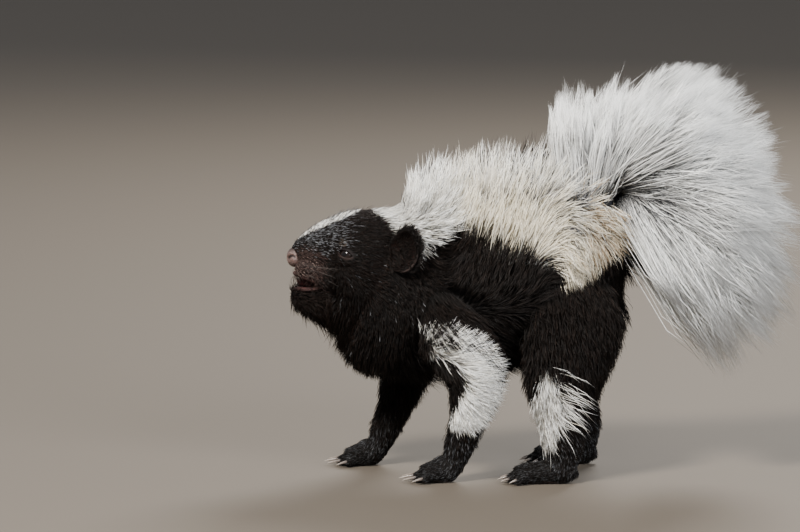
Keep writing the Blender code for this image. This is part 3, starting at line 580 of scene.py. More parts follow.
@dataclass(frozen=True)
class LimbPlan:
    """One leg: its path down to the sole, its step, paw and claws."""

    kind: Leg
    side: Side
    part: Part
    stations: Table
    step: tuple[float, float]
    paw: Table
    claw_length: float

    def shift(self, height: Array) -> Array:
        """How far this leg is stepped along X at a height."""
        top, sole = self.stations[0][2], self.stations[-1][2]
        share = (top - np.asarray(height, float)) / (top - sole)
        step = self.step[0] + (self.step[1] - self.step[0]) * share
        return step if self.side is Side.RIGHT else 0.0 * step

    def path(self, depth: float = 0.0) -> Array:
        """The leg's rows, its half widths less the depth of its coat, which thins out to the foot."""
        rows = np.array(self.stations, float)
        rows[:, 0] += self.shift(rows[:, 2])
        rows[:, 1] *= self.side.value
        thin = depth * (0.45 + 0.55 * ramp(8, 40, rows[:, 2]))
        rows[:, 3:] -= thin[:, None]
        return rows

    def sole_rows(self, depth: float) -> Array:
        """The paw's rows from the wrist or heel forward, less a depth."""
        ankle = self.path()[-1]
        rows = [(ankle[0] + x, ankle[1], z, half - depth, tall - depth) for x, z, half, tall in self.paw]
        return smooth_rows(np.array(rows), 12)

    def toes(self) -> list[tuple[Array, Array, float]]:
        """For each toe its root, its heading and its length."""
        ankle = self.path()[-1]
        x, _, half, _ = self.paw[-1]
        found = []
        for toe in range(TOES):
            share = toe_share(toe)
            turn = TOE_FAN * share
            heading = np.array([-math.cos(turn), math.sin(turn), 0.0])
            back = ankle[0] + x + TOE_BACK + OUTER_TOE_BACK * share**2
            root = np.array([back, ankle[1] + share * (half - TOE_INSET), TOE_HEIGHT])
            found.append((root, heading, TOE_LENGTH * (1 - OUTER_TOE_LACK * share**2)))
        return found


def toe_share(toe: int) -> float:
    """A toe's place across the paw, from -1 to 1."""
    return toe / (TOES - 1) * 2 - 1


LIMBS = tuple(
    LimbPlan(kind, side, Part[f"{kind.name}_{side.name}"], stations, step, paw, claw)
    for kind, stations, step, paw, claw in (
        (Leg.FORE, FORE_PATH, FORE_STEP, FORE_PAW, 6.4),
        (Leg.HIND, HIND_PATH, HIND_STEP, HIND_PAW, 4.0),
    )
    for side in Side
)
# The plan of each pair's right leg, which is the one that is stepped.
STEPPED = {plan.kind: plan for plan in LIMBS if plan.side is Side.RIGHT}


@dataclass
class Trunk:
    """The trunk's sections, with the depth of the coat taken off, and where a point lies on them."""

    stations: Table = TRUNK

    def skin_rows(self) -> Table:
        """The stations of the bare skin."""
        rows = []
        for x, z, half, up, down, lean in self.stations:
            depth = float(read_table(x, TRUNK_DEPTH))
            rows.append((x, z, half - depth, up - depth * BACK_SHARE, down - depth, lean))
        return tuple(rows)

    def locate(self, points: Array) -> tuple[Array, Array]:
        """Where points lie on the trunk.

        Args:
            points: N points in design millimetres.

        Returns:
            The x of each point's leaning section, and the angle in degrees from the spine down to the
            belly, signed by the side.
        """
        rows = smooth_rows(self.stations, 160)
        section = points[:, 0].copy()
        for _ in range(6):
            z, lean = (np.interp(section, rows[:, 0], rows[:, k]) for k in (1, 5))
            section = 0.5 * section + 0.5 * (points[:, 0] - lean * (points[:, 2] - z))
        z, half, up, down = (np.interp(section, rows[:, 0], rows[:, k]) for k in (1, 2, 3, 4))
        height = points[:, 2] - z
        reach = np.where(height > 0, up, down)
        return section, np.degrees(np.arctan2(points[:, 1] / half, height / reach))


@dataclass
class TailPlan:
    """The tail's arch and the hair that stands on it."""

    rows: Table = TAIL

    def frame(self, share: Array) -> tuple[Array, Array, Array, Array]:
        """The arch at shares of its length.

        Args:
            share: N places from 0 at the rump to 1 at the end.

        Returns:
            Points, headings, outward directions and radii.
        """
        fine = smooth_rows(self.rows, TAIL_STEPS + 1)
        place = np.asarray(share, float) * TAIL_STEPS
        steps = np.arange(TAIL_STEPS + 1)
        x, z, radius = (np.interp(place, steps, fine[:, k]) for k in range(3))
        dx, dz = (np.interp(place, steps, np.gradient(fine[:, k])) for k in (0, 1))
        none = np.zeros_like(x)
        heading = unit(np.stack([dx, none, dz], axis=-1))
        outward = np.stack([-heading[:, 2], none, heading[:, 0]], axis=-1)
        return np.stack([x, none, z], axis=-1), heading, outward, radius

    def reach(self, fan: Array) -> Array:
        """How far from the focus the tips stand, at angles of the fan in radians."""
        spokes = np.array(PLUME_OUTLINE) - PLUME_FOCUS
        angle = np.arctan2(spokes[:, 1], spokes[:, 0])
        order = np.argsort(angle)
        return np.interp(fan, angle[order], norm(spokes, axis=1)[order])

    def hair(self, fan: Array, side: Array, place: Array, size: Array) -> tuple[Array, ...]:
        """The hair that fans out from the tail, each drawn from its root to a tip on the plume's outline.

        A tip stands at reach times size from the focus, less where it stands to the side: there the reach
        falls from 1 to 0.64 by a circle's arc. A root stands on the arch, turned round it to face its tip.

        Args:
            fan: angles of the fan in radians, from straight back up to the front.
            side: how far to the side each tip stands, from -1 to 1.
            place: where in its stretch of the tail each is rooted, from 0 to 1.
            size: the share of the outline's reach that each has.

        Returns:
            Roots, outward sides, directions, lengths, shares along the tail and turns round it.
        """
        angles, low, high = np.array(PLUME_ROOTS).T
        low, high = np.interp(np.degrees(fan), angles, low), np.interp(np.degrees(fan), angles, high)
        share = low + (high - low) * place
        point, heading, outward, radius = self.frame(share)
        reach = self.reach(fan)
        flat = reach * size * (0.64 + 0.36 * np.sqrt(1 - side**2))
        wide = np.minimum(0.5 * reach, PLUME_HALF_WIDTH) * side * size
        x, z = PLUME_FOCUS
        tip = np.stack([x + flat * np.cos(fan), wide, z + flat * np.sin(fan)], axis=-1)
        radial = tip - point
        radial = unit(radial - heading * (radial * heading).sum(1, keepdims=True))
        root = point + radial * (radius * 0.9)[:, None]
        turn = np.arctan2(radial[:, 1], (radial * outward).sum(1))
        return root, radial, unit(tip - root), norm(tip - root, axis=1), share, turn


def eye_frame(side: Side) -> tuple[Array, Array, Array, Array]:
    """Centre of an eye, and its axes: out, along the lids, and up."""
    out = unit(mirror(EYE_AXIS, side))
    level = unit(np.cross(out, (0.0, 0.0, 1.0)))
    upright = np.cross(level, out)
    along = level * math.cos(EYE_SLANT) - side.value * upright * math.sin(EYE_SLANT)
    return mirror(EYE_CENTRE, side), out, along, np.cross(along, out)


def ear_frame(side: Side) -> tuple[Array, Array]:
    """Centre of an ear, and its axes as rows: along it, across it, and out of its opening."""
    along = unit(mirror(EAR_LENGTH_AXIS, side))
    opening = mirror(EAR_OPENING_AXIS, side)
    opening = unit(opening - along * (opening @ along))
    return mirror(EAR_CENTRE, side), np.stack([along, np.cross(along, opening), opening])


def ear_local(points: Array, side: Side, margin: Triple = (1.0, 1.0, 1.0)) -> Array:
    """Points in an ear's own axes, counted in its half sizes, made larger by a margin."""
    centre, axes = ear_frame(side)
    return (points - centre) @ axes.T / (np.array(EAR_HALF_SIZES) * margin)


# A colour laid over the bare skin, with its share and how bare the skin is there.
Layer = tuple[Array | Triple, Array, Array]


@dataclass
class Markings:
    """Where the coat is white, and how the bare skin is coloured."""

    # Lower edge of the white back: x and height.
    edge: Table = (
        (-44, 132.5), (-40, 131.5), (-36, 129), (-32, 124), (-29, 115), (-26, 109.5),
        (-23.5, 109.5), (-20, 116), (-15, 121), (-8, 120.5), (0, 117.5), (12, 113.5),
        (32, 109.5), (44, 108), (50, 106), (55, 104.5), (61, 106.5), (68, 112),
        (78, 120), (90, 127),
    )  # fmt: skip
    # Front end of the nape's white on the middle line, how far it falls back for each millimetre to the
    # side, and the black zone round an ear, counted in the ear's half sizes.
    nape_front: float = -44.5
    nape_slope: float = 0.6
    ear_zone: float = 1.3
    # Half width of the stripe down the face, and of the dark one along the back, and where each is on top.
    blaze: Table = (
        (-78.5, 0), (-76.5, 1.6), (-70, 4), (-60, 6), (-55, 5.6), (-51, 3), (-49.5, 0),
    )  # fmt: skip
    blaze_floor: float = 112.0
    back_stripe: Table = ((2, 0), (14, 2.6), (50, 3.4), (62, 0))
    stripe_floor: float = 120.0
    stripe_strength: float = 0.85
    # The white crescent of a foreleg and the white shin of a hind leg: x, z and half width.
    crescent: Table = (
        (-10.5, 69, 4.2), (-4.5, 68.5, 5.4), (3.5, 65.5, 6.4), (9.5, 57.5, 6.8),
        (8.5, 48.5, 6.8), (6, 41, 6), (3.5, 36, 4),
    )  # fmt: skip
    shin: Table = (
        (45.5, 57.5, 3), (45, 50.5, 5), (45, 42.5, 6), (44.5, 35.5, 5.2), (45.5, 29.5, 2.8),
    )  # fmt: skip
    # The x behind which no patch reaches, and the distance from the middle beyond which a leg counts as
    # facing outwards, by height.
    patch_end: float = 70.0
    facing: Table = ((54, 25.5), (64, 17))
    # Bare spots of the muzzle: centre, radius where full, radius where gone, and how bare they are.
    muzzle_spots: tuple[tuple[Triple, float, float, float], ...] = (
        (MUZZLE_SPOT, 5.0, 13.0, 0.35),
        ((-80.0, 0.0, 106.0), 5.0, 8.0, 1.0),
    )

    def leg_gap(self, points: Array, kind: Leg) -> tuple[Array, Array]:
        """How far points lie, seen from the side, from the middle line of a leg's white patch.

        Args:
            points: N points, on the right side with that leg's step, which is taken back.
            kind: fore or hind.

        Returns:
            The distances, and the patch's half width at the nearest place of the line.
        """
        shift = np.where(points[:, 1] > 0, STEPPED[kind].shift(points[:, 2]), 0.0)
        local = np.stack([points[:, 0] - shift, points[:, 2]], axis=-1)
        path = np.array(self.crescent if kind is Leg.FORE else self.shin)
        gap, where = path_distance(local, path[:, :2])
        return gap, np.interp(where, np.linspace(0, 1, len(path)), path[:, 2])

    def leg_patch(self, points: Array, kind: Leg) -> Array:
        """How deep points lie in a leg's white patch: 1 on its middle line and 0 from its edge on."""
        gap, half = self.leg_gap(points, kind)
        return np.clip(1.0 - gap / half, 0, 1)

    def outer(self, points: Array) -> Array:
        """How far a leg's points face outwards, from 0 to 1."""
        return ramp(0, 4, np.abs(points[:, 1]) - read_table(points[:, 2], self.facing))

    def white(self, points: Array, ragged: Array) -> Array:
        """How white the coat is.

        Args:
            points: N places on the skin.
            ragged: a random length in millimetres for each, which frays the edges.

        Returns:
            Shares from 0, black, to 1, white.
        """
        x, y, z = points[:, 0], np.abs(points[:, 1]), points[:, 2]
        above = ramp(-0.8, 0.8, z + ragged - read_table(x, self.edge))
        nape = ramp(-0.6, 0.6, x + 0.6 * ragged - self.nape_front - self.nape_slope * y)
        ear = norm(ear_local(folded(points), Side.RIGHT), axis=1)
        back = above * nape * (ear > self.ear_zone)
        half = read_table(x, self.blaze)
        blaze = ramp(-0.5, 0.5, half - y + 0.35 * ragged) * (half > 0) * (z > self.blaze_floor)
        stripe = ramp(-0.8, 0.8, read_table(x, self.back_stripe) - y + 0.5 * ragged)
        stripe = stripe * (z > self.stripe_floor)
        trunk = np.maximum(back * (1 - self.stripe_strength * stripe), blaze)
        fray = np.minimum(0.03 * ragged, 0)
        fore, hind = (ramp(0.0, 0.12, self.leg_patch(points, kind) + fray) for kind in Leg)
        return np.maximum(trunk, np.maximum(fore, hind) * self.outer(points) * (x < self.patch_end))

    def eye_layers(self, both: Array) -> list[Layer]:
        """The lids round an eye, paler below, and the dark slit between them."""
        eye, out, along, up = eye_frame(Side.RIGHT)
        rel = both - eye
        a, u, o = rel @ along, rel @ up, rel @ out
        lid = (1 - ramp(0.92, 1.12, np.hypot(a / 5.0, u / 2.9))) * (o > 0)
        slit = (np.hypot(a / 4.2, u / 1.7) < 0.92) & (o > 0) & (norm(rel, axis=1) < 6)
        tone = mixed(LID_BROWN, LID_PALE, ramp(0.4, -0.8, u))
        return [(tone, lid, lid), (SLIT_DARK, slit, 0.0 * lid)]

    def ear_layers(self, both: Array) -> list[Layer]:
        """The reddish hollow of an ear, and a painted highlight along the edge of its front."""
        local = ear_local(both, Side.RIGHT)
        across = np.hypot(local[:, 0], local[:, 1])
        hollow = (1 - ramp(0.75, 1.0, across)) * ramp(-0.9, -0.3, local[:, 2])
        # The pale rim is a painted highlight along the ear's front edge.
        rim = ramp(0.84, 0.95, across) * ramp(-0.35, 0.1, local[:, 2])
        rim *= (local[:, 0] < 0.35) & (local[:, 1] < 0.1) & (norm(local, axis=1) < 1.08)
        return [(EAR_RED, hollow, 0.3 * hollow), (PAINTED_RIM_HIGHLIGHT, 0.8 * rim, 0.7 * rim)]

    def mouth_layers(self, points: Array, both: Array) -> list[Layer]:
        """The inside of the mouth, between the lips and in front of its corners: its reddish tone darkened as
        painted shade.
        """
        middle = np.abs(points[:, 2] - read_table(points[:, 0], MOUTH_LINE))
        mouth = (1 - ramp(6.0, 7.2, both[:, 1])) * (1 - ramp(2.2, 3.2, middle))
        mouth *= ramp(-58, -62, points[:, 0])
        return [(PAINTED_MOUTH_SHADE, mouth, mouth)]

    def bare(self, points: Array) -> tuple[Array, Array]:
        """The colour of bare skin about the face, ears and paws, and how bare it is there."""
        both = folded(points)
        layers: list[Layer] = []
        for centre, inner, outer, bareness in self.muzzle_spots:
            share = 1 - ramp(inner, outer, norm(both - centre, axis=1))
            layers.append((MUZZLE_BROWN, share, share * bareness))
        for half_edge, reach in ((UPPER_LIP, 2.2), (LOWER_LIP, 2.6)):
            gap, _ = path_distance(both, smooth_rows(half_edge, 12))
            share = 1 - ramp(0.8, reach, gap)
            layers.append((LIP_PINK, share, share))
        sole = 1 - ramp(0.8, 2.4, points[:, 2])
        layers += self.eye_layers(both) + self.ear_layers(both) + self.mouth_layers(points, both)
        layers.append((PAD_DARK, sole, sole))
        colour = np.tile(BLACK_ROOT, (len(points), 1))
        bareness = np.zeros(len(points))
        for tone, share, bare in layers:
            colour = mixed(colour, tone, share)
            bareness = np.maximum(bareness, bare)
        return colour, bareness


@dataclass(frozen=True)
class Swelling:
    """A soft rise or hollow of the skin on both sides: a Gaussian of this radius and height."""

    centre: Triple
    radius: float
    height: float


@dataclass(frozen=True)
class Crease:
    """A fold of the skin on both sides: a Gaussian furrow along a path."""

    path: Table
    width: float
    depth: float


@dataclass
class Skin:
    """The one closed skin of the whole animal."""

    shop: Workshop
    trunk: Trunk
    tail: TailPlan
    head_voxel: float = 0.56
    paw_voxel: float = 0.78
    body_voxel: float = 1.4
    seed: int = 5
    # Coat over the skin of legs and paws, and how far a cut end of the trunk is drawn in.
    leg_coat: float = 2.2
    paw_coat: float = 0.5
    cut_share: float = 0.8
    lid_half_length: float = 4.3
    lid_half_height: float = 2.0
    lid_radius: float = 0.55
    # Shells of the head besides trunk and jaw, centre and half sizes: the mouth's floor, and on each side
    # the flew over the canine and the cheek.
    mouth_floor: tuple[Triple, Triple] = ((-70.0, 0.0, 97.2), (9.0, 5.6, 4.4))
    cheeks: tuple[tuple[Triple, Triple], ...] = (
        ((-72.5, 4.6, 104.2), (7.6, 4.4, 5.0)),
        ((-63.0, 7.6, 100.0), (8.0, 5.4, 6.4)),
    )
    swellings: tuple[Swelling, ...] = (
        Swelling((-66.0, 10.0, 116.0), 5.0, -0.6),
        Swelling((-55.0, 14.5, 118.5), 3.8, 0.9),
        Swelling((-62.0, 12.5, 111.5), 3.6, -0.6),
        Swelling((-50.0, 19.0, 100.0), 8.0, 1.4),
        Swelling((-35.0, 24.0, 110.0), 5.0, -1.0),
    )
    creases: tuple[Crease, ...] = (
        Crease(((-65.5, 10.2, 95.6), (-61.0, 13.2, 94.4), (-58.0, 15.2, 95.4)), 0.9, 0.9),
        Crease(((-57.8, 14.3, 113.5), (-61.0, 12.8, 113.9), (-63.5, 11.8, 115.0)), 0.6, 0.5),
        Crease(((-50.0, 18.6, 111.2), (-47.3, 20.2, 109.8)), 0.6, 0.5),
        Crease(((-57.5, 14.0, 115.4), (-53.6, 16.0, 116.5), (-49.8, 18.2, 114.8)), 0.6, 0.45),
        Crease(((-57.2, 15.4, 110.4), (-53.0, 17.6, 108.4), (-49.5, 19.0, 108.8)), 0.6, 0.45),
        Crease(((-78.6, 3.4, 101.5), (-80.0, 1.2, 103.0), (-80.4, 0.0, 105.0)), 0.5, 0.6),
    )

    def almond(self, side: Side, scale: float, count: int) -> tuple[Array, Array]:
        """The edge of an eye's opening on the eyeball, and the direction out of the opening at each point.

        The edge is an ellipse whose height is drawn in towards both corners, lifted onto the ball.
        """
        centre, out, along, up = eye_frame(side)
        turn = np.linspace(0, 2 * math.pi, count, endpoint=False)
        wide = (self.lid_half_length * scale * np.cos(turn))[:, None]
        tall = (self.lid_half_height * scale * np.sin(turn) * (1 - 0.3 * np.cos(turn) ** 2))[:, None]
        deep = np.sqrt(np.maximum((EYE_RADIUS + 0.2) ** 2 - wide**2 - tall**2, 1.6))
        outward = unit(along * np.cos(turn)[:, None] + up * np.sin(turn)[:, None])
        return centre + along * wide + up * tall + out * deep, outward

    def lids(self, side: Side) -> Surface:
        """The rolled rim of both lids: a round section carried along the almond."""
        spine, outward = self.almond(side, 1.0, 56)
        out = eye_frame(side)[1]
        angle = np.linspace(0, 2 * math.pi, 12, endpoint=False)
        rings = spine[:, None] + self.lid_radius * (
            outward[:, None] * np.cos(angle)[:, None] + out * np.sin(angle)[:, None]
        )
        return closed_ring(rings)

    def eye_pit(self, side: Side) -> Surface:
        """The space between the lids, an almond carried straight out of the eye."""
        spine, _ = self.almond(side, 0.94, 48)
        out = eye_frame(side)[1]
        rings = np.stack([spine - out * 2.2, spine - out * 0.6, spine + out * 3.0])
        return closed_tube(rings, rings[0].mean(0), rings[-1].mean(0))

    def lip(self, half_edge: Table, radius: float) -> Surface:
        """A lip as a roll from one corner of the mouth to the other, thin at both ends."""
        other = [(x, -y, z) for x, y, z in half_edge[:-1]]
        rows = smooth_rows(tuple(other + list(half_edge[::-1])), 61)
        share = np.linspace(0, math.pi, 61)
        thick = radius * (0.35 + 0.65 * np.sin(share) ** 0.5)
        return path_tube(np.column_stack([rows, thick, thick]), 12, 0.3, (0.0, 0.0, 1.0))

    def ear(self, side: Side) -> Surface:
        """An ear: a half shell out to a round rim and back in over a shallower hollow."""
        centre, axes = ear_frame(side)
        a, b, c = EAR_HALF_SIZES
        turn = np.linspace(0, 2 * math.pi, 56, endpoint=False)
        outer = np.linspace(0.04, 0.5, 14) * math.pi
        inner = np.linspace(0.5, 0.06, 14)[1:] * math.pi
        reach = np.concatenate([np.sin(outer), 0.86 * np.sin(inner)])
        depth = np.concatenate([-c * np.cos(outer), 0.7 - (c - 1.3) * np.cos(inner)])
        scallop = 1 + 0.035 * np.cos(3 * turn + 0.6)
        x = a * reach[:, None] * np.cos(turn) * scallop
        y = b * reach[:, None] * np.sin(turn) * scallop
        z = depth[:, None] + 1.6 * reach[:, None] ** 2 * (np.cos(turn) > 0) * np.cos(turn) ** 2
        points = np.stack([x, y, z], axis=-1) @ axes + centre
        return closed_tube(points, points[0].mean(0), points[-1].mean(0))

    def paw(self, plan: LimbPlan) -> list[Surface]:
        """A paw's sole, toes with their pads, and the wrist or heel inside the leg."""
        up = np.array([0.0, 0.0, 1.0])
        shells = [path_tube(plan.sole_rows(self.paw_coat), 24, 1.0)]
        for root, heading, length in plan.toes():
            knuckle = root + heading * length * 0.5 + 0.7 * up
            end = root + heading * (length - 0.6) - 0.6 * up
            rows = [
                (*root, 1.9, 1.9),
                (*knuckle, 2.1, 1.95),
                (*(end - heading * 1.8), 1.95, 1.9),
                (*end, 1.5, 1.5),
            ]
            shells.append(path_tube(smooth_rows(np.array(rows), 12), 14, 0.8))
            shells.append(ball(end - heading * 1.6 - 0.5 * up, (1.9, 1.6, 1.3), np.eye(3), 8, 12))
        legs = plan.path(1.2)[-3:]
        legs[:, 3:] *= 0.93
        shells.append(path_tube(smooth_rows(legs, 10), 20, 0.5))
        return shells

    def trunk_rows(self, low: float, high: float, cut: int) -> Table:
        """The trunk's stations between two places, with the one at the cut end drawn in."""
        rows = [row for row in self.trunk.skin_rows() if low < row[0] < high]
        x, z, *sizes, lean = rows[cut]
        rows[cut] = (x, z, *(self.cut_share * size for size in sizes), lean)
        return tuple(rows)

    def head_shells(self) -> list[Surface]:
        """The shells of the head: its part of the trunk, jaw, brows, cheeks and ears."""
        jaw = tuple(
            (x, z, half - JAW_DEPTH, up - 0.4, down - JAW_DEPTH, lean) for x, z, half, up, down, lean in JAW
        )
        shells = [body_tube(self.trunk_rows(-math.inf, -8.0, -1), 90, 96, 1.0), body_tube(jaw, 40, 48, 1.5)]
        floor, half_sizes = self.mouth_floor
        shells.append(ball(np.array(floor), half_sizes, np.eye(3), 24, 36))
        for side in Side:
            centre, out, along, up = eye_frame(side)
            shells.append(ball(centre, (EYE_RADIUS + 0.15, 6.4, 5.0), np.stack([out, along, up]), 20, 32))
            for middle, half_sizes in self.cheeks:
                shells.append(ball(mirror(middle, side), half_sizes, np.eye(3), 24, 36))
            shells.append(self.ear(side))
        return shells

    def body_shells(self) -> list[Surface]:
        """The shells of the rest: trunk, legs and tail."""
        shells = [body_tube(self.trunk_rows(-40.0, math.inf, 0), 80, 72, 2.0)]
        shells += [path_tube(smooth_rows(plan.path(self.leg_coat), 50), 28, 1.0) for plan in LIMBS]
        share = np.linspace(0, 1, 60)
        point, _, _, radius = self.tail.frame(share)
        radius = np.where(share < 0.15, radius * (0.7 + 2 * share), radius)
        shells.append(path_tube(np.column_stack([point, radius, radius]), 24, 1.5))
        return shells

    def sculpt(self, points: Array, normals: Array) -> Array:
        """Points moved along their normals by all swellings and creases, each a Gaussian of the distance."""
        both = folded(points)
        move = np.zeros(len(points))
        for rise in self.swellings:
            gap = norm(both - rise.centre, axis=1)
            move += rise.height * np.exp(-0.5 * (gap / rise.radius) ** 2)
        for crease in self.creases:
            gap, where = path_distance(both, crease.path)
            fade = np.sin(np.pi * np.clip(where, 0.05, 0.95)) ** 0.5
            move -= crease.depth * fade * np.exp(-0.5 * (gap / crease.width) ** 2)
        return points + normals * move[:, None]

    def head(self) -> Item:
        """The head's skin, with the eyes' openings cut and lids and lips joined on."""
        shop = self.shop
        head = shop.remeshed(shop.merged("skin", self.head_shells()), self.head_voxel, 4)
        shop.move_points(head, self.sculpt(*shop.points_of(head)))
        shop.combined(head, [shop.piece("pit", self.eye_pit(side)) for side in Side], "DIFFERENCE")
        rims = [shop.piece("lids", self.lids(side)) for side in Side]
        lips = ((UPPER_LIP, 1.15), (LOWER_LIP, 1.25))
        rims += [shop.piece("lip", self.lip(edge, radius)) for edge, radius in lips]
        return shop.combined(head, rims, "UNION")

    def build(self, markings: Markings) -> Item:
        """The finished skin with its colours: head, body and paws as one surface."""
        shop = self.shop
        skin = self.head()
        parts = [shop.remeshed(shop.merged("body", self.body_shells()), self.body_voxel, 4)]
        for plan in LIMBS:
            parts.append(shop.remeshed(shop.merged("paw", self.paw(plan)), self.paw_voxel, 3))
        shop.softened(shop.combined(skin, parts, "UNION"), 0.4, 1)
        self.rest_soles(skin)
        points, _ = shop.points_of(skin)
        ragged = np.random.default_rng(self.seed).normal(0.0, 0.8, len(points))
        coat = mixed(BLACK_ROOT, np.array(WHITE_ROOT) * 0.8, markings.white(points, ragged))
        coat = mixed(coat, GREY_ROOT, ramp(70, 75, points[:, 0]))
        shop.paint(skin, mixed(coat, *markings.bare(points)))
        skin.data.shade_smooth()
        return skin

    def rest_soles(self, item: Item) -> None:
        """Flattens what reaches under the floor, so that the soles rest on it."""
        points, _ = self.shop.points_of(item)
        points[:, 2] = np.maximum(points[:, 2], 0.0)
        self.shop.move_points(item, points)


@dataclass
class Tufts:
    """A set of hair tufts as arrays, one row for each tuft."""

    root: Array
    normal: Array
    heading: Array
    bent: Array
    length: Array
    width: Array
    root_tint: Array
    tip_tint: Array
    turning: Array
    unwrap: Array

    def pick(self, chosen: Array) -> "Tufts":
        """The tufts at the rows chosen."""
        return Tufts(*(getattr(self, name)[chosen] for name in self.__dataclass_fields__))


# By the number of a tuft's rings: shares of its length from root to tip, and the rings' widths.
TUFT_RINGS = {1: ((0.0, 0.38, 1.0), (1.0,)), 2: ((0.0, 0.3, 0.72, 1.0), (1.0, 0.76))}


@dataclass
class Coat:
    """Turns tufts into closed meshes: a flat three-sided section carried along a bending line.

    Sizes in millimetres: a root's depth in the skin, what is kept free inside the solids' box, and the
    band before that in which a line bends back. Shares: a tuft's thickness against its width, its patch
    of the bake map, how far neighbours roll and sway, and half the stretch in which root turns to tip.
    """

    shop: Workshop
    rng: np.random.Generator
    room: tuple[Array, Array]
    sink: float = 1.0
    margin: float = 0.5
    band: float = 3.0
    thickness: float = 0.7
    patch: float = 0.003
    roll: float = 0.6
    sway: float = 0.05
    fade: float = 0.18

    def lines(self, tufts: Tufts, shares: Array, clump: float, clump_size: int) -> Array:
        """The tufts' middle lines at shares of their length.

        A line runs from its heading over to its bent direction, a quadratic in the share; the tips of
        neighbours are drawn together, by the square of the share.

        Args:
            tufts: the tufts.
            shares: where along them to read.
            clump: how far the tips are drawn together, from 0 to 1.
            clump_size: how many tufts share a tip, about.

        Returns:
            Tufts by shares by 3 points.
        """
        shares = np.asarray(shares)[None, :, None]
        length = tufts.length[:, None, None]
        heading, bent = tufts.heading[:, None], tufts.bent[:, None]
        lines = tufts.root[:, None] + length * (shares * heading + 0.5 * shares**2 * (bent - heading))
        if clump > 0 and len(tufts.root) > clump_size * 4:
            chosen = self.rng.choice(len(tufts.root), len(tufts.root) // clump_size, replace=False)
            guide = lines[chosen][nearest_centres(lines[:, -1], lines[chosen, -1])]
            pull = guide[:, -1:] - lines[:, -1:]
            limit = norm(pull, axis=-1, keepdims=True)
            pull *= np.minimum(1.0, 0.5 * length / np.maximum(limit, 1e-6))
            amount = clump * self.rng.uniform(0.5, 1.0, (len(tufts.root), 1, 1))
            lines = lines + amount * shares**2 * pull
        sway = self.rng.normal(0, self.sway, (len(tufts.root), 1, 3)) * length
        lines = lines + sway * np.sin(np.pi * shares)
        return self.within(lines)

    def within(self, lines: Array) -> Array:
        """Lines bent back into the solids' box: past a band before each face they creep up to it."""
        low, high = self.room[0] + self.margin, self.room[1] - self.margin
        over = np.maximum(lines - (high - self.band), 0)
        lines = np.where(over > 0, high - self.band * np.exp(-over / self.band), lines)
        under = np.maximum(low + self.band - lines, 0)
        under[..., 2] = 0
        lines = np.where(under > 0, low + self.band * np.exp(-under / self.band), lines)
        lines[..., 2] = np.maximum(lines[..., 2], self.margin)
        return lines

    def piece(self, name: str, tufts: Tufts, rings: int, clump: float, clump_size: int) -> Item:
        """One mesh of closed tufts with colours from root to tip and the bake map.

        Args:
            name: the piece's name.
            tufts: the tufts.
            rings: how many rings a tuft has between root and tip.
            clump: how far tips are drawn together.
            clump_size: how many tufts share a tip, about.

        Returns:
            The object.
        """
        count = len(tufts.root)
        shares, widths = TUFT_RINGS[rings]
        lines = self.lines(tufts, np.array(shares), clump, clump_size)
        lines[:, 0] -= tufts.heading * self.sink
        along = unit(np.gradient(lines, axis=1))
        flat = unit(tufts.normal + self.rng.normal(0, self.roll, (count, 3)))[:, None]
        across = unit(np.cross(along, flat))
        thin = np.cross(across, along)
        half = (0.5 * tufts.width[:, None] * widths)[..., None]
        angle = np.radians((90.0, 210.0, 330.0))
        wide = half * (np.cos(angle) / math.cos(math.radians(30)))
        deep = half * (np.sin(angle) * self.thickness)
        body = lines[:, 1:-1, None] + across[:, 1:-1, None] * wide[..., None]
        body = body + thin[:, 1:-1, None] * deep[..., None]
        points = np.concatenate([lines[:, :1], body.reshape(count, -1, 3), lines[:, -1:]], axis=1)
        starts = np.arange(count)[:, None, None] * points.shape[1]
        faces = (self.pattern(rings)[None] + starts).reshape(-1, 3)
        made = self.shop.piece(name, Surface(points.reshape(-1, 3), faces))
        level = np.concatenate([[0.0], np.repeat(shares[1:-1], 3), [1.0]])
        turned = (level[None] - tufts.turning[:, None] + self.fade) / (2 * self.fade)
        blend = np.clip(turned, 0, 1)[..., None]
        colours = tufts.root_tint[:, None] * (1 - blend) + tufts.tip_tint[:, None] * blend
        self.shop.paint(made, colours.reshape(-1, 3))
        self.unwrap(made, tufts, level, faces)
        return made

    def pattern(self, rings: int) -> Array:
        """Triangles of one tuft: a fan from the root, bands between rings, and a fan to the tip."""
        turns = [(1 + corner, 1 + (corner + 1) % 3) for corner in range(3)]
        faces = [(0, b, a) for a, b in turns]
        for ring in range(rings - 1):
            step = 3 * ring
            for a, b in turns:
                faces += [(a + step, b + step, b + step + 3), (a + step, b + step + 3, a + step + 3)]
        step = 3 * (rings - 1)
        tip = 3 * rings + 1
        faces += [(a + step, b + step, tip) for a, b in turns]
        return np.array(faces)

    def unwrap(self, made: Item, tufts: Tufts, level: Array, faces: Array) -> None:
        """Gives each tuft a patch of the bake map at its root's place on the skin's unwrap."""
        low, high = tufts.unwrap.min(0), tufts.unwrap.max(0)
        spot = 0.01 + 0.98 * (tufts.unwrap - low) / np.maximum(high - low, 1e-9)
        corner = np.concatenate([[0.5], np.tile((0.0, 0.5, 1.0), (len(level) - 2) // 3), [0.5]])
        offset = (np.stack([corner, level], axis=-1) - 0.5) * self.patch
        places = (spot[:, None] + offset[None]).reshape(-1, 2)
        layer = made.data.uv_layers.new(name="OFBake")
        layer.data.foreach_set("uv", places[faces.ravel()].astype(np.float32).ravel())


@dataclass(frozen=True)
class PatchHair:
    """How the longer hair of a leg's white patch lies.

    Its slope, in degrees above straight back, is read by height or by x. The lift falls towards the
    front edge. Some tufts are long wisps.
    """

    slope: Table
    by_height: bool
    jitter: float
    length: float
    lift: float
    front_fall: float
    droop: float
    wisps: float


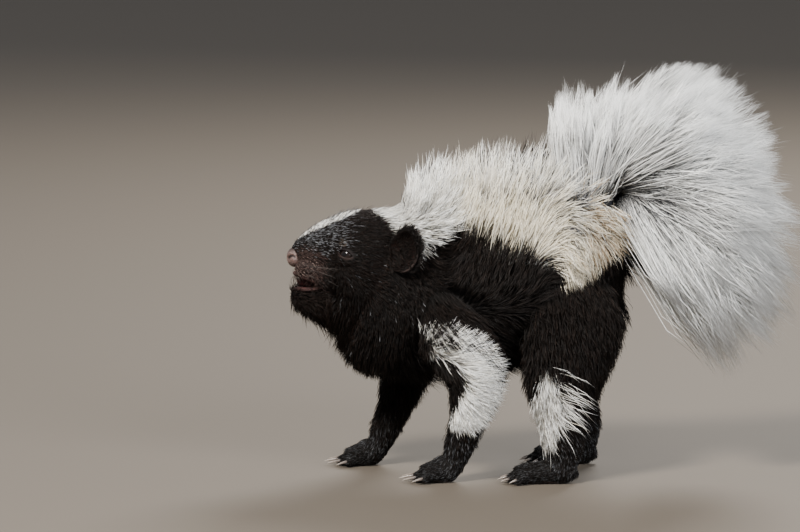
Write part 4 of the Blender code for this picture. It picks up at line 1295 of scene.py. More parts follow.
PATCH_HAIR = {
    Leg.FORE: PatchHair(
        ((28.0, -75.0), (36.0, -45.0), (48.0, -15.0), (60.0, 10.0), (68.0, 35.0), (76.0, 50.0)),
        by_height=True,
        jitter=11.0,
        length=13.0,
        lift=30.0,
        front_fall=22.0,
        droop=0.2,
        wisps=0.0,
    ),
    Leg.HIND: PatchHair(
        ((38.0, -105.0), (46.0, -80.0), (54.0, -38.0)),
        by_height=False,
        jitter=14.0,
        length=15.0,
        lift=26.0,
        front_fall=0.0,
        droop=0.8,
        wisps=0.14,
    ),
}


@dataclass
class Groomer:
    """Sets the coat's lie, length and colour at places on the skin."""

    trunk: Trunk
    tail: TailPlan
    markings: Markings
    rng: np.random.Generator
    # The trunk's hair: length along the spine and its fall down the sides, then on flank and belly.
    spine_length: Table = (
        (-82, 1.4), (-74, 2.6), (-60, 4), (-48, 5.5), (-42, 7), (-38, 12), (-34.5, 22),
        (-30, 31), (-26, 32), (-20, 29), (-12, 34.5), (-3, 28), (6, 34), (25, 30),
        (45, 33), (60, 34), (74, 22),
    )  # fmt: skip
    spine_fall: Table = ((0, 1), (25, 1), (55, 0.8), (80, 0.6))
    flank_length: Table = (
        (-82, 1.4), (-72, 2.4), (-60, 3.8), (-48, 6), (-30, 10), (-10, 14), (40, 16),
        (80, 14),
    )  # fmt: skip
    belly_length: Table = (
        (-82, 5.6), (-70, 7), (-56, 10), (-40, 15), (-12, 19), (10, 21), (45, 21),
        (70, 15),
    )  # fmt: skip
    # Lift of the hair by the angle from the spine, how far the back's erect hair leans forward, how far
    # the sides' hair rises for each millimetre that it runs back, and how far tufts droop to their tips.
    body_lift: Table = ((0, 80), (25, 70), (48, 52), (72, 36), (115, 30), (180, 46))
    back_lean: Table = (
        (-40, 6), (-34, 24), (-27, 16), (-18, 8), (5, 8), (45, 14), (60, 26),
    )  # fmt: skip
    rise: Table = (
        (-60, -0.1), (-38, -0.3), (-30, -1), (-20, -1.2), (-12, -0.5), (-4, 1.2), (4, 2.8),
        (14, 3.4), (85, 3.4),
    )  # fmt: skip
    droop: Table = ((0, 14), (60, 26), (180, 20))
    # Slope in degrees of the hair that falls over the hip.
    hip_slope: float = -84.0
    # The legs' hair by height: length and lift.
    leg_length: Table = ((8, 3), (16, 4.5), (26, 8), (45, 11.5), (70, 14), (90, 14))
    leg_lift: Table = ((8, 16), (24, 26), (60, 32))
    wisp_length: float = 27.0
    short_width: float = 0.26
    # Share of the tail's arch from which on it carries its own hair, and an ear's zone in its half sizes.
    tail_start: float = 0.36
    ear_margin: Triple = (1.12, 1.12, 1.25)
    ear_inside: float = 21.5

    def some(self, count: int, share: Array | float) -> Array:
        """A random choice of rows, each taken by its share of chance."""
        return self.rng.uniform(0, 1, count) < share

    def spines(self) -> list[tuple[Array, Array, Part]]:
        """The parts' own lines as points and radii: trunk, jaw, tail, and each leg with its paw and toes."""
        rows = smooth_rows(self.trunk.skin_rows(), 60)
        found = []
        for share in (-0.3, 0.3):
            height = share * np.where(share > 0, rows[:, 3], rows[:, 4])
            line = np.stack([rows[:, 0] + rows[:, 5] * height, 0 * height, rows[:, 1] + height], axis=-1)
            found.append((line, 0.9 * rows[:, 2], Part.TRUNK))
        rows = smooth_rows(JAW, 12)
        found.append((np.stack([rows[:, 0], 0 * rows[:, 0], rows[:, 1]], axis=-1), rows[:, 2], Part.JAW))
        point, _, _, radius = self.tail.frame(np.linspace(self.tail_start, 1, 30))
        found.append((point, radius, Part.TAIL))
        for plan in LIMBS:
            rows = smooth_rows(plan.path(2.2), 30)
            found.append((rows[:, :3], rows[:, 3:].mean(1), plan.part))
            sole = plan.sole_rows(0.5)
            found.append((sole[:, :3], sole[:, 3] * 0.8, Part.PAW))
            for root, heading, length in plan.toes():
                line = np.stack([root, root + heading * length * 0.5, root + heading * length])
                found.append((line, np.full(3, TOE_RADIUS), Part.PAW))
        return found

    def label(self, points: Array) -> Array:
        """The part that each point belongs to: the one whose own line is nearest, counted in its radii."""
        lines, radii, parts = zip(*self.spines())
        names = np.concatenate([np.full(len(line), part.value) for line, part in zip(lines, parts)])
        lines, radii = np.vstack(lines), np.concatenate(radii)
        found = np.empty(len(points), int)
        for start in range(0, len(points), BLOCK):
            block = points[start : start + BLOCK]
            gap = norm(block[:, None] - lines[None], axis=-1) / radii
            found[start : start + BLOCK] = names[np.argmin(gap, axis=1)]
        aside = np.abs(points[:, 1])
        for side in Side:
            local = ear_local(points, side, self.ear_margin)
            found[(norm(local, axis=1) < 1.0) & (aside > self.ear_inside)] = Part.EAR.value
        outer = aside > read_table(points[:, 2], self.markings.facing) + 1
        for plan in LIMBS:
            on_side = points[:, 1] * plan.side.value > 0
            found[(self.markings.leg_patch(points, plan.kind) > 0) & outer & on_side] = plan.part.value
        return found

    def tilt(self, normal: Array, lie: Array, lift: Array) -> Array:
        """Directions that rise from the lie towards the normal by the lift in degrees."""
        flat = unit(lie - normal * (lie * normal).sum(1, keepdims=True))
        lift = np.radians(lift)[:, None]
        return normal * np.sin(lift) + flat * np.cos(lift)

    def tints(self, points: Array, white: Array) -> tuple[Array, Array, Array]:
        """Colours of tufts that are white by chance, black or brown otherwise, and cream on the flank.

        Args:
            points: N roots.
            white: the chance of each to be white.

        Returns:
            Root colours, tip colours, and the share along each tuft where one turns into the other.
        """
        rng, count = self.rng, len(points)
        dark_tip = mixed(BLACK_TIP, BROWN_TIP, 0.55 * rng.uniform(0, 1, count) ** 2)
        flank = ramp(144, 122, points[:, 2]) * ramp(-14, 8, points[:, 0])
        flank *= points[:, 2] > 85
        cream = np.clip(0.15 + 0.75 * flank + rng.normal(0, 0.18, count), 0, 1)
        light_tip = mixed(WHITE_TIP, CREAM_TIP, cream)
        light_root = mixed(WHITE_ROOT, GREY_ROOT, 0.25 * rng.uniform(0, 1, count))
        shade = rng.uniform(0.8, 1.05, count)
        shade = (shade - 0.12 * rng.uniform(0, 1, count) * ramp(120, 140, points[:, 2]))[:, None]
        chosen = self.some(count, white)
        root = np.where(chosen[:, None], light_root, BLACK_ROOT) * shade
        tip = np.where(chosen[:, None], light_tip, dark_tip) * shade
        turning = np.where(chosen, rng.uniform(0.1, 0.4, count), rng.uniform(0.4, 0.8, count))
        return root, tip, turning

    def trunk_length(self, section: Array, steep: Array) -> Array:
        """Length of the trunk's hair by place and angle, from the spine's over the flank's to the belly's."""
        upper = read_table(section, self.spine_length) * read_table(steep, self.spine_fall)
        length = upper + (read_table(section, self.flank_length) - upper) * ramp(62, 95, steep)
        length += (read_table(section, self.belly_length) - length) * ramp(112, 158, steep)
        return length

    def trunk_lift(self, section: Array, steep: Array, rump: Array) -> Array:
        """Degrees by which the trunk's hair stands up: low on the head, erect on the back."""
        body_lift = read_table(steep, self.body_lift)
        body_lift = body_lift + read_table(section, self.back_lean) * ramp(50, 25, steep)
        head_lift = 18.0 + 32.0 * ramp(105, 150, steep)
        nape = ramp(-45, -35, section)
        lift = head_lift * (1 - nape) + body_lift * nape
        return lift * (1 - rump) + 34.0 * rump

    def trunk_lie(self, x: Array, section: Array, steep: Array, hip: Array) -> Array:
        """Direction of the trunk's hair: back, rising or falling by x, and down on hip and throat."""
        rise = read_table(x, self.rise)
        rise += (np.minimum(rise, -0.6) - rise) * ramp(92, 118, steep)
        climb = np.arctan(rise * np.sin(np.radians(steep)))
        climb += (math.radians(self.hip_slope) - climb) * hip
        throat = ramp(95, 140, steep) * ramp(2, -20, section)
        throat = throat * ramp(-66, -56, section)
        return np.stack([np.cos(climb) - 1.25 * throat, 0 * climb, np.sin(climb) - 1.1 * throat], axis=-1)

    def trunk_tufts(self, points: Array, normals: Array) -> Tufts:
        """The coat of the head, neck and torso."""
        rng, count = self.rng, len(points)
        section, angle = self.trunk.locate(points)
        steep = np.abs(angle)
        rump = ramp(46, 66, section) * ramp(20, 60, steep)
        hip = ramp(34, 56, points[:, 0]) * ramp(146, 130, points[:, 2])
        collar = ramp(-42, -36, section) * ramp(-6, -14, section)
        collar = collar * ramp(30, 60, steep)
        chin = (section < -46) & (steep > 105)
        length = self.trunk_length(section, steep) * (1 - 0.2 * rump)
        lift = self.trunk_lift(section, steep, rump) + rng.normal(0, 7, count)
        lift *= 1 - 0.4 * hip
        length *= (1 - 0.5 * collar) * rng.uniform(0.66, 1.1, count)
        length[chin] *= rng.uniform(0.3, 1.4, chin.sum())
        lie = self.trunk_lie(points[:, 0], section, steep, hip) + rng.normal(0, 0.09, (count, 3))
        heading = self.tilt(normals, lie, lift)
        bent = self.tilt(normals, lie + (0, 0, -0.15), lift - read_table(steep, self.droop))
        width = 0.25 + 0.19 * ramp(3, 20, length)
        white = self.markings.white(points, rng.normal(0, 1.0, count))
        unwrap = np.stack([section, angle], axis=-1)
        tufts = Tufts(points, normals, heading, bent, length, width, *self.tints(points, white), unwrap)
        special = self.brow_and_back(tufts, section, steep, white)
        self.face(tufts, section, white, special)
        loose = self.some(count, 0.006) & (section < -8) & (section > -60) & (steep > 80)
        tufts.tip_tint[loose] = np.array(SILVER) * 0.8
        rear = ramp(54, 66, points[:, 0]) * ramp(146, 136, points[:, 2])
        sandy = self.some(count, 0.6 * rear) & (white > 0.5)
        tufts.tip_tint[sandy] = mixed(CREAM_TIP, SANDY, rng.uniform(0.3, 1.0, sandy.sum()))
        return tufts

    def brow_and_back(self, tufts: Tufts, section: Array, steep: Array, white: Array) -> Array:
        """Sets silver hair on the brow, dark streaks on the back, tan over the eyes, and a short shoulder.

        Args:
            tufts: the trunk's tufts, which are changed.
            section: the x of each one's section of the trunk.
            steep: its angle from the spine in degrees.
            white: how white the coat is there.

        Returns:
            Which tufts are silver or tan.
        """
        rng, points, tip = self.rng, tufts.root, tufts.tip_tint
        count = len(points)
        silver = ramp(-82, -78, points[:, 0]) * ramp(-46, -64, points[:, 0])
        pale = self.some(count, 0.36 * (silver * ramp(109, 119, points[:, 2]))) & (white < 0.5)
        tip[pale] = np.array(SILVER) * rng.uniform(0.3, 0.9, (pale.sum(), 1))
        tufts.turning[pale] = 0.35
        shared = self.streaks(points + tufts.heading * 8.0, 22)
        streak = (steep < 26 + 16 * (section > 0)) & (section > -38) & (points[:, 0] < 56) & (shared < 0.24)
        tip[streak] = np.array(GREY_ROOT) * rng.uniform(0.6, 2.2, (streak.sum(), 1))
        tufts.length *= 0.86 + 0.22 * shared
        tan = (norm(folded(points) - TAN_SPOT, axis=1) < 2.2) & self.some(count, 0.4)
        tip[tan] = TAN
        tufts.turning[tan] = 0.25
        gap, _ = self.markings.leg_gap(points, Leg.FORE)
        tufts.length *= 1 - 0.7 * ramp(15, 9, gap) * (np.abs(points[:, 1]) > 15) * (steep > 80)
        return pale | tan

    def face(self, tufts: Tufts, section: Array, white: Array, special: Array) -> None:
        """Sets dark upright hair along the blaze, brown cheeks and muzzle, and pale specks on its pads.

        Args:
            tufts: the trunk's tufts, which are changed.
            section: the x of each one's section of the trunk.
            white: how white the coat is there.
            special: tufts whose tips the cheeks' brown leaves as they are.
        """
        points, tip, root = tufts.root, tufts.tip_tint, tufts.root_tint
        count, both = len(points), folded(points)
        beside = np.abs(points[:, 1]) - read_table(points[:, 0], self.markings.blaze)
        fringe = (beside < 0.5) & (section < -50) & self.some(count, 0.14)
        tufts.heading[fringe] = unit(tufts.heading[fringe] + 0.7 * tufts.normal[fringe])
        tufts.bent[fringe] = unit(tufts.bent[fringe] + 0.5 * tufts.normal[fringe])
        tufts.length[fringe] *= 1.2
        tip[fringe] = np.array(GREY_ROOT) * 0.5
        brown = self.some(count, 0.8 * (ramp(-30, -42, section) * (white < 0.5)))
        tip[brown & ~special] = CHEEK_BROWN
        muzzle = 1 - ramp(7, 13, norm(both - MUZZLE_SPOT, axis=1))
        ruddy = self.some(count, 0.8 * muzzle)
        tip[ruddy] = root[ruddy] = MUZZLE_BROWN
        pad = 1 - ramp(4.5, 7.5, norm(both - PAD_SPOT, axis=1))
        speck = self.some(count, 0.22 * pad)
        tufts.length[speck] *= 0.7
        tip[speck] = root[speck] = MUZZLE_PALE

    def limb_tufts(self, points: Array, normals: Array, plan: LimbPlan) -> Tufts:
        """The coat of one leg, with its white patch of longer hair."""
        rng, count = self.rng, len(points)
        hair = PATCH_HAIR[plan.kind]
        rows = smooth_rows(plan.path(), 80)
        nearest = np.argmin(norm(points[:, None] - rows[None, :, :3], axis=-1), axis=1)
        along = unit(np.gradient(rows[:, :3], axis=0))[nearest]
        spoke = points - rows[nearest, :3]
        turn = np.degrees(np.arctan2(spoke[:, 0], spoke[:, 1] * plan.side.value))
        height, local = points[:, 2], points[:, 0] - plan.shift(points[:, 2])
        length = read_table(height, self.leg_length)
        lift = read_table(height, self.leg_lift) + rng.normal(0, 5, count)
        lie = along + np.array([0.35, 0.0, 0.0]) + rng.normal(0, 0.15, (count, 3))
        tuft = ramp(0.0, 0.2, self.markings.leg_patch(points, plan.kind)) * self.markings.outer(points)
        slope = read_table(height if hair.by_height else local, hair.slope)
        slope = slope + rng.normal(0, hair.jitter, count)
        wisp = self.some(count, hair.wisps) & (slope > -75)
        slope = np.radians(np.where(wisp, rng.uniform(-30, 18, count), slope))
        fan = np.stack([np.cos(slope), 0 * slope, np.sin(slope)], axis=-1)
        lie = lie * (1 - tuft[:, None]) + fan * tuft[:, None]
        length = length * (1 - tuft) + np.where(wisp, self.wisp_length, hair.length) * tuft
        lift = lift * (1 - tuft) + (hair.lift - hair.front_fall * ramp(-2, -8, local)) * tuft
        length *= rng.uniform(0.7, 1.1, count)
        heading, bent = self.tilt(normals, lie, lift), self.tilt(normals, lie, lift - 24)
        bent = unit(bent - (tuft * hair.droop)[:, None] * (0, 0, 1))
        width = (0.26 + 0.12 * ramp(3, 14, length)) * np.where(wisp, 0.6, 1.0 - 0.2 * tuft)
        root, tip, turning = self.tints(points, self.markings.white(points, rng.normal(0, 1.0, count)))
        tip[self.some(count, 0.3 * ramp(34, 10, height))] = np.array(SILVER) * 0.35
        unwrap = np.stack([nearest / 80.0, turn / 360.0], axis=-1)
        return Tufts(points, normals, heading, bent, length, width, root, tip, turning, unwrap)

    def paw_tufts(self, points: Array, normals: Array) -> Tufts:
        """The short hair of the paws and toes, which points to the claws."""
        rng, count = self.rng, len(points)
        lie = np.array([-1.0, 0.0, -0.2]) + rng.normal(0, 0.2, (count, 3))
        length = rng.uniform(1.4, 3.0, count)
        lift = rng.normal(18, 6, count)
        heading, bent = self.tilt(normals, lie, lift), self.tilt(normals, lie, lift - 14)
        root, tip, turning = self.tints(points, np.zeros(count))
        tip[self.some(count, 0.34)] = np.array(SILVER) * 0.32
        unwrap = np.stack([points[:, 0] + 400.0 * (points[:, 1] > 0), points[:, 1]], axis=-1)
        width = np.full(count, self.short_width)
        return Tufts(points, normals, heading, bent, length, width, root, tip, turning, unwrap)

    def ear_tufts(self, points: Array, normals: Array) -> Tufts:
        """Short hair over the ear, longer on its back and along its edge."""
        rng, count = self.rng, len(points)
        lie = np.zeros((count, 3))
        inside = np.zeros(count)
        unwrap = np.zeros((count, 2))
        for side in Side:
            here = points[:, 1] * side.value > 0
            _, axes = ear_frame(side)
            local = ear_local(points[here], side)
            facing = normals[here] @ axes[2]
            lie[here] = axes[0] * 1.0 + axes[1] * local[:, 1:2] * 0.8 + np.array([0.3, 0.0, 0.0])
            inside[here] = ramp(-0.4, 0.3, facing)
            unwrap[here] = np.stack([local[:, 0] + 3.0 * side.value, local[:, 1] + 3 * (facing > 0)], axis=-1)
        length = (6.0 - 3.8 * inside) * rng.uniform(0.6, 1.15, count)
        lift = 20.0 + 10.0 * (1 - inside) + rng.normal(0, 5, count)
        lie += rng.normal(0, 0.15, (count, 3))
        heading, bent = self.tilt(normals, lie, lift), self.tilt(normals, lie, lift - 16)
        width = np.full(count, self.short_width)
        colours = self.tints(points, np.zeros(count))
        return Tufts(points, normals, heading, bent, length, width, *colours, unwrap)

    def tail_tufts(self, count: int) -> Tufts:
        """The plume: long hair that fans out from the tail's arch, dark at its roots and in streaks, with
        painted shade between clusters of strands.
        """
        rng = self.rng
        degrees = np.where(self.some(count, 0.22), rng.uniform(72, 134, count), rng.uniform(-65, 74, count))
        fan = np.radians(degrees)
        degrees = np.degrees(fan)
        side = rng.uniform(-1, 1, count)
        size = rng.beta(8.0, 1.0, count) * (1.03 + 0.07 * ramp(-20, -50, degrees))
        place = rng.uniform(0, 1, count)
        root, normal, direction, length, share, turn = self.tail.hair(fan, side, place, size)
        tips = root + direction * length[:, None]
        front = ramp(66, 96, degrees)
        length = length * (1.06 - 0.07 * front - (0.2 + 0.18 * front) * self.streaks(tips, 110))
        stray = self.some(count, 0.012)
        length[stray] *= 1.18
        curl = rng.normal(0, 0.07, (count, 3)) + 0.05 * normal
        spread = rng.normal(0, 0.03, (count, 3))
        heading, bent = unit(direction + curl + spread), unit(direction - curl + spread)
        width = rng.uniform(0.32, 0.5, count) * np.where(stray, 0.6, 1.0)
        parting = 0.75 * np.exp(-0.5 * ((degrees - 21.0) / 4.5) ** 2)
        under = 0.55 * ramp(-52, -62, degrees)
        dark = self.streaks(tips, 30) < np.maximum(0.27, np.maximum(parting, under))
        # Painted shade: clusters of strands are made darker or lighter in turn, standing in for the shadows
        # between them.
        shade = 0.4 + 0.68 * self.streaks(tips, 16) ** 0.5
        light = np.array(WHITE_TIP) * (shade * rng.uniform(0.88, 1.08, count))[:, None]
        grey = np.array(GREY_ROOT) * rng.uniform(0.3, 1.4, (count, 1))
        root_tint = np.where(self.some(count, 0.85)[:, None], grey, light * 0.6)
        turning = np.where(dark, rng.uniform(0.55, 0.86, count), rng.uniform(0.08, 0.36, count))
        unwrap = np.stack([share, turn], axis=-1)
        return Tufts(root, normal, heading, bent, length, width, root_tint, light, turning, unwrap)

    def streaks(self, places: Array, size: int) -> Array:
        """A random number for each place that about size neighbours share, so that colours run in streaks."""
        centres = places[self.rng.choice(len(places), max(len(places) // size, 1), replace=False)]
        return self.rng.uniform(0, 1, len(centres))[nearest_centres(places, centres)]


@dataclass(frozen=True)
class Finish:
    """A procedural finish: the tint attribute, varied by noise, over a shader with its own numbers."""

    name: str
    roughness: float
    specular: float = 0.5
    coat: float = 0.0
    variation: float = 0.12
    variation_scale: float = 260.0
    bump: float = 0.0
    bump_scale: float = 1400.0
    bump_distance: float = 0.0002
    subsurface: float = 0.0

    def material(self) -> bpy.types.Material:
        """The material of this finish."""
        made = bpy.data.materials.new(self.name)
        made.use_nodes = True
        nodes, links = made.node_tree.nodes, made.node_tree.links
        shader = nodes["Principled BSDF"].inputs
        shader["Roughness"].default_value = self.roughness
        shader["Specular IOR Level"].default_value = self.specular
        shader["Coat Weight"].default_value = self.coat
        shader["Coat Roughness"].default_value = 0.04
        if self.subsurface > 0:
            shader["Subsurface Weight"].default_value = self.subsurface
            shader["Subsurface Radius"].default_value = (1.0, 0.35, 0.2)
            shader["Subsurface Scale"].default_value = 0.0012
        tint = nodes.new("ShaderNodeAttribute")
        tint.attribute_name = "tint"
        where = nodes.new("ShaderNodeTexCoord")
        noise = nodes.new("ShaderNodeTexNoise")
        noise.inputs["Scale"].default_value = self.variation_scale
        noise.inputs["Detail"].default_value = 3.0
        span = nodes.new("ShaderNodeMapRange")
        span.inputs["To Min"].default_value = 1.0 - self.variation
        span.inputs["To Max"].default_value = 1.0 + self.variation
        scale = nodes.new("ShaderNodeVectorMath")
        scale.operation = "SCALE"
        wires = [
            (where.outputs["Object"], noise.inputs["Vector"]),
            (noise.outputs["Fac"], span.inputs["Value"]),
            (tint.outputs["Color"], scale.inputs[0]),
            (span.outputs["Result"], scale.inputs["Scale"]),
            (scale.outputs["Vector"], shader["Base Color"]),
        ]
        if self.bump > 0:
            grain = nodes.new("ShaderNodeTexVoronoi")
            grain.inputs["Scale"].default_value = self.bump_scale
            raised = nodes.new("ShaderNodeBump")
            raised.inputs["Strength"].default_value = self.bump
            raised.inputs["Distance"].default_value = self.bump_distance
            wires.append((where.outputs["Object"], grain.inputs["Vector"]))
            wires.append((grain.outputs["Distance"], raised.inputs["Height"]))
            wires.append((raised.outputs["Normal"], shader["Normal"]))
        for start, end in wires:
            links.new(start, end)
        return made


class Look(Enum):
    """The finishes of the pieces."""

    SKIN = Finish(
        "bare_skin", 0.66, 0.1, bump=0.5, bump_scale=1500.0, bump_distance=0.00025, subsurface=0.08
    )
    COAT = Finish("coat_hair", 0.55, 0.14)
    TAIL = Finish("tail_hair", 0.5, 0.3, variation=0.08)
    NOSE = Finish(
        "nose_leather", 0.46, 0.4, coat=0.08, bump=0.8, bump_scale=1900.0, bump_distance=0.0003,
        subsurface=0.1,
    )
    EYE = Finish("wet_eye", 0.06, 0.34, variation=0.25, variation_scale=900.0)
    CLAW = Finish("claw_horn", 0.34, 0.5, coat=0.2, variation=0.2, variation_scale=1200.0)


class Wardrobe:
    """The materials of all finishes, made once, and the dressing of pieces in them."""

    def __init__(self) -> None:
        """Makes each material."""
        self.materials = {look: look.value.material() for look in Look}

    def dress(self, item: Item, look: Look, slot: str) -> Item:
        """Gives a piece its material and its body."""
        item.data.materials.clear()
        item.data.materials.append(self.materials[look])
        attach(item, BODY)
        LOG.info("%s: %d triangles", item.name, len(item.data.polygons))
        return item


@dataclass
class Features:
    """The small separate pieces: eyes, nose, claws and whiskers."""

    shop: Workshop
    wardrobe: Wardrobe
    # What an eyeball lacks to the lids' radius, and how much its cornea stands out and how wide it is.
    eye_slack: float = 0.05
    cornea: float = 0.045
    cornea_angle: float = 0.62
    # A nostril's curve from the nose's middle, and the depths of nostril, its rim and the groove between.
    nostril: Table = ((-3.2, 2.6, -0.2), (-2.2, 3.9, 0.9), (-1, 4.6, 1.3), (0.2, 4.8, 0.6))
    nostril_depth: float = 1.1
    rim_height: float = 0.05
    groove_depth: float = 0.5
    # How deep a claw sits in its toe, how far it falls, and its width against its height.
    claw_root: float = 1.2
    claw_fall: float = 1.05
    claw_flatness: float = 0.8
    whisker_rows: int = 3
    whisker_columns: int = 4
    whisker_radius: float = 0.11

    def eye(self, side: Side) -> Item:
        """An eyeball with a dark iris, a black pupil and a cornea that stands a little proud."""
        centre, out, along, up = eye_frame(side)
        radius = EYE_RADIUS - self.eye_slack
        polar = np.linspace(0, math.pi, 42)[1:-1, None]
        turn = np.linspace(0, 2 * math.pi, 48, endpoint=False)
        bulge = 1 + self.cornea * np.exp(-((polar / self.cornea_angle) ** 4))
        points = unit_ball(polar, turn) * bulge[..., None] * radius @ np.stack([out, along, up]) + centre
        surface = closed_tube(points, centre + out * radius * (1 + self.cornea), centre - out * EYE_RADIUS)
        item = self.shop.piece(f"eyeball_{side.name.lower()}", surface)
        place, _ = self.shop.points_of(item)
        angle = np.arccos(np.clip(unit(place - centre) @ out, -1, 1))
        colour = mixed(PUPIL, IRIS, ramp(0.28, 0.36, angle))
        self.shop.paint(item, mixed(colour, SCLERA, ramp(0.85, 1.0, angle)))
        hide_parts(f"eye_{side.name.lower()}")
        return self.wardrobe.dress(item, Look.EYE, "eye")

    def nose(self) -> Item:
        """The nose pad: an ellipsoid with a groove down its middle and two comma-shaped nostrils, darkened
        with painted shade.
        """
        item = self.shop.piece("nose_pad", ball(np.array(NOSE_CENTRE), NOSE_HALF_SIZES, np.eye(3), 70, 96))
        points, normals = self.shop.points_of(item)
        gap, where = path_distance(folded(points), np.array(NOSE_CENTRE) + self.nostril)
        pit = np.exp(-0.5 * (gap / (0.75 - 0.35 * where)) ** 2)
        rim = np.exp(-0.5 * ((gap - 1.7) / 0.5) ** 2)
        groove = np.exp(-0.5 * (points[:, 1] / 0.4) ** 2) * ramp(111.5, 108.5, points[:, 2])
        move = -self.nostril_depth * pit * (1 - 0.5 * where)
        move = move + self.rim_height * rim - self.groove_depth * groove
        self.shop.move_points(item, points + normals * move[:, None])
        colour = mixed(MUZZLE_BROWN, NOSE_PINK, 0.75 + 0.15 * rim)
        colour = mixed(colour, np.array(MUZZLE_BROWN) * 0.7, ramp(111.5, 113.8, points[:, 2]))
        # The nostril pits are darkened with painted shade.
        self.shop.paint(item, mixed(colour, PAINTED_NOSTRIL_SHADE, ramp(0.3, 0.8, pit)))
        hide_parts("nose")
        return self.wardrobe.dress(item, Look.NOSE, "nose_skin")

    def claws(self) -> None:
        """Twenty curved, pointed claws: a round section carried along a falling arc and drawn to a point."""
        t = np.linspace(0, 1, 12)
        sag = np.array([0, 0, -1.0]) * (self.claw_fall * t**2)[:, None]
        radius = CLAW_RADIUS * 0.86 * (1 - 0.93 * t**1.3)
        for plan in LIMBS:
            for toe, (root, heading, length) in enumerate(plan.toes()):
                reach = plan.claw_length * (1 - 0.1 * toe_share(toe) ** 2) + self.claw_root
                start = root + heading * (length + TOE_RADIUS * 0.1 - self.claw_root) + np.array([0, 0, -0.1])
                line = start + heading * (reach * t)[:, None] + sag
                rows = np.column_stack([line, radius * self.claw_flatness, radius])
                name = f"claw_{plan.kind}_{plan.side.name.lower()}_{toe + 1}"
                item = self.shop.piece(f"{name}_horn", path_tube(rows, 12, 0.08))
                points, _ = self.shop.points_of(item)
                along = np.clip(((points - start) @ heading) / reach, 0, 1)
                self.shop.paint(item, mixed(CLAW_ROOT, CLAW_TIP, along))
                points[:, 2] = np.maximum(points[:, 2], 0.02)
                self.shop.move_points(item, points)
                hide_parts(name)
                self.wardrobe.dress(item, Look.CLAW, "claw")

    def whiskers(self, rng: np.random.Generator) -> Item:
        """Whiskers on the muzzle and over the eyes: thin tapered tubes that sweep back."""
        surfaces = []
        for side in Side:
            for row in range(self.whisker_rows):
                for column in range(self.whisker_columns):
                    base = (-76.0 + 2.6 * column, 7.4 + 0.8 * column, 102.5 + 2.0 * row - 0.4 * column)
                    sweep = mirror((0.55 + 0.15 * column, 0.75, -0.25 + 0.16 * row), side)
                    sweep = unit(sweep + rng.normal(0, 0.06, 3))
                    surfaces.append(self.whisker(mirror(base, side), sweep, rng.uniform(9, 16), rng))
            for lift in (0.0, 1.0):
                base = mirror((-57.0 + 1.5 * lift, 15.4, 118.4), side)
                sweep = unit(mirror((0.5, 0.5, 0.8), side))
                surfaces.append(self.whisker(base, sweep, rng.uniform(7, 10), rng))
        item = self.shop.merged("whiskers", surfaces)
        self.shop.paint(item, np.tile(WHISKER, (len(item.data.vertices), 1)))
        return self.wardrobe.dress(item, Look.COAT, "coat")

    def whisker(self, base: Array, sweep: Array, length: float, rng: np.random.Generator) -> Surface:
        """One whisker: a point thinning to nothing along a quadratic that curls back."""
        t = np.linspace(0, 1, 9)[:, None]
        curl = np.array([0.35, 0.0, -0.25]) + rng.normal(0, 0.08, 3)
        line = base + length * (sweep * t + 0.5 * curl * t**2)
        radius = self.whisker_radius * (1 - 0.85 * t[:, 0])
        return path_tube(np.column_stack([line, radius, radius]), 4, 0.02, (0.0, 0.0, 1.0))


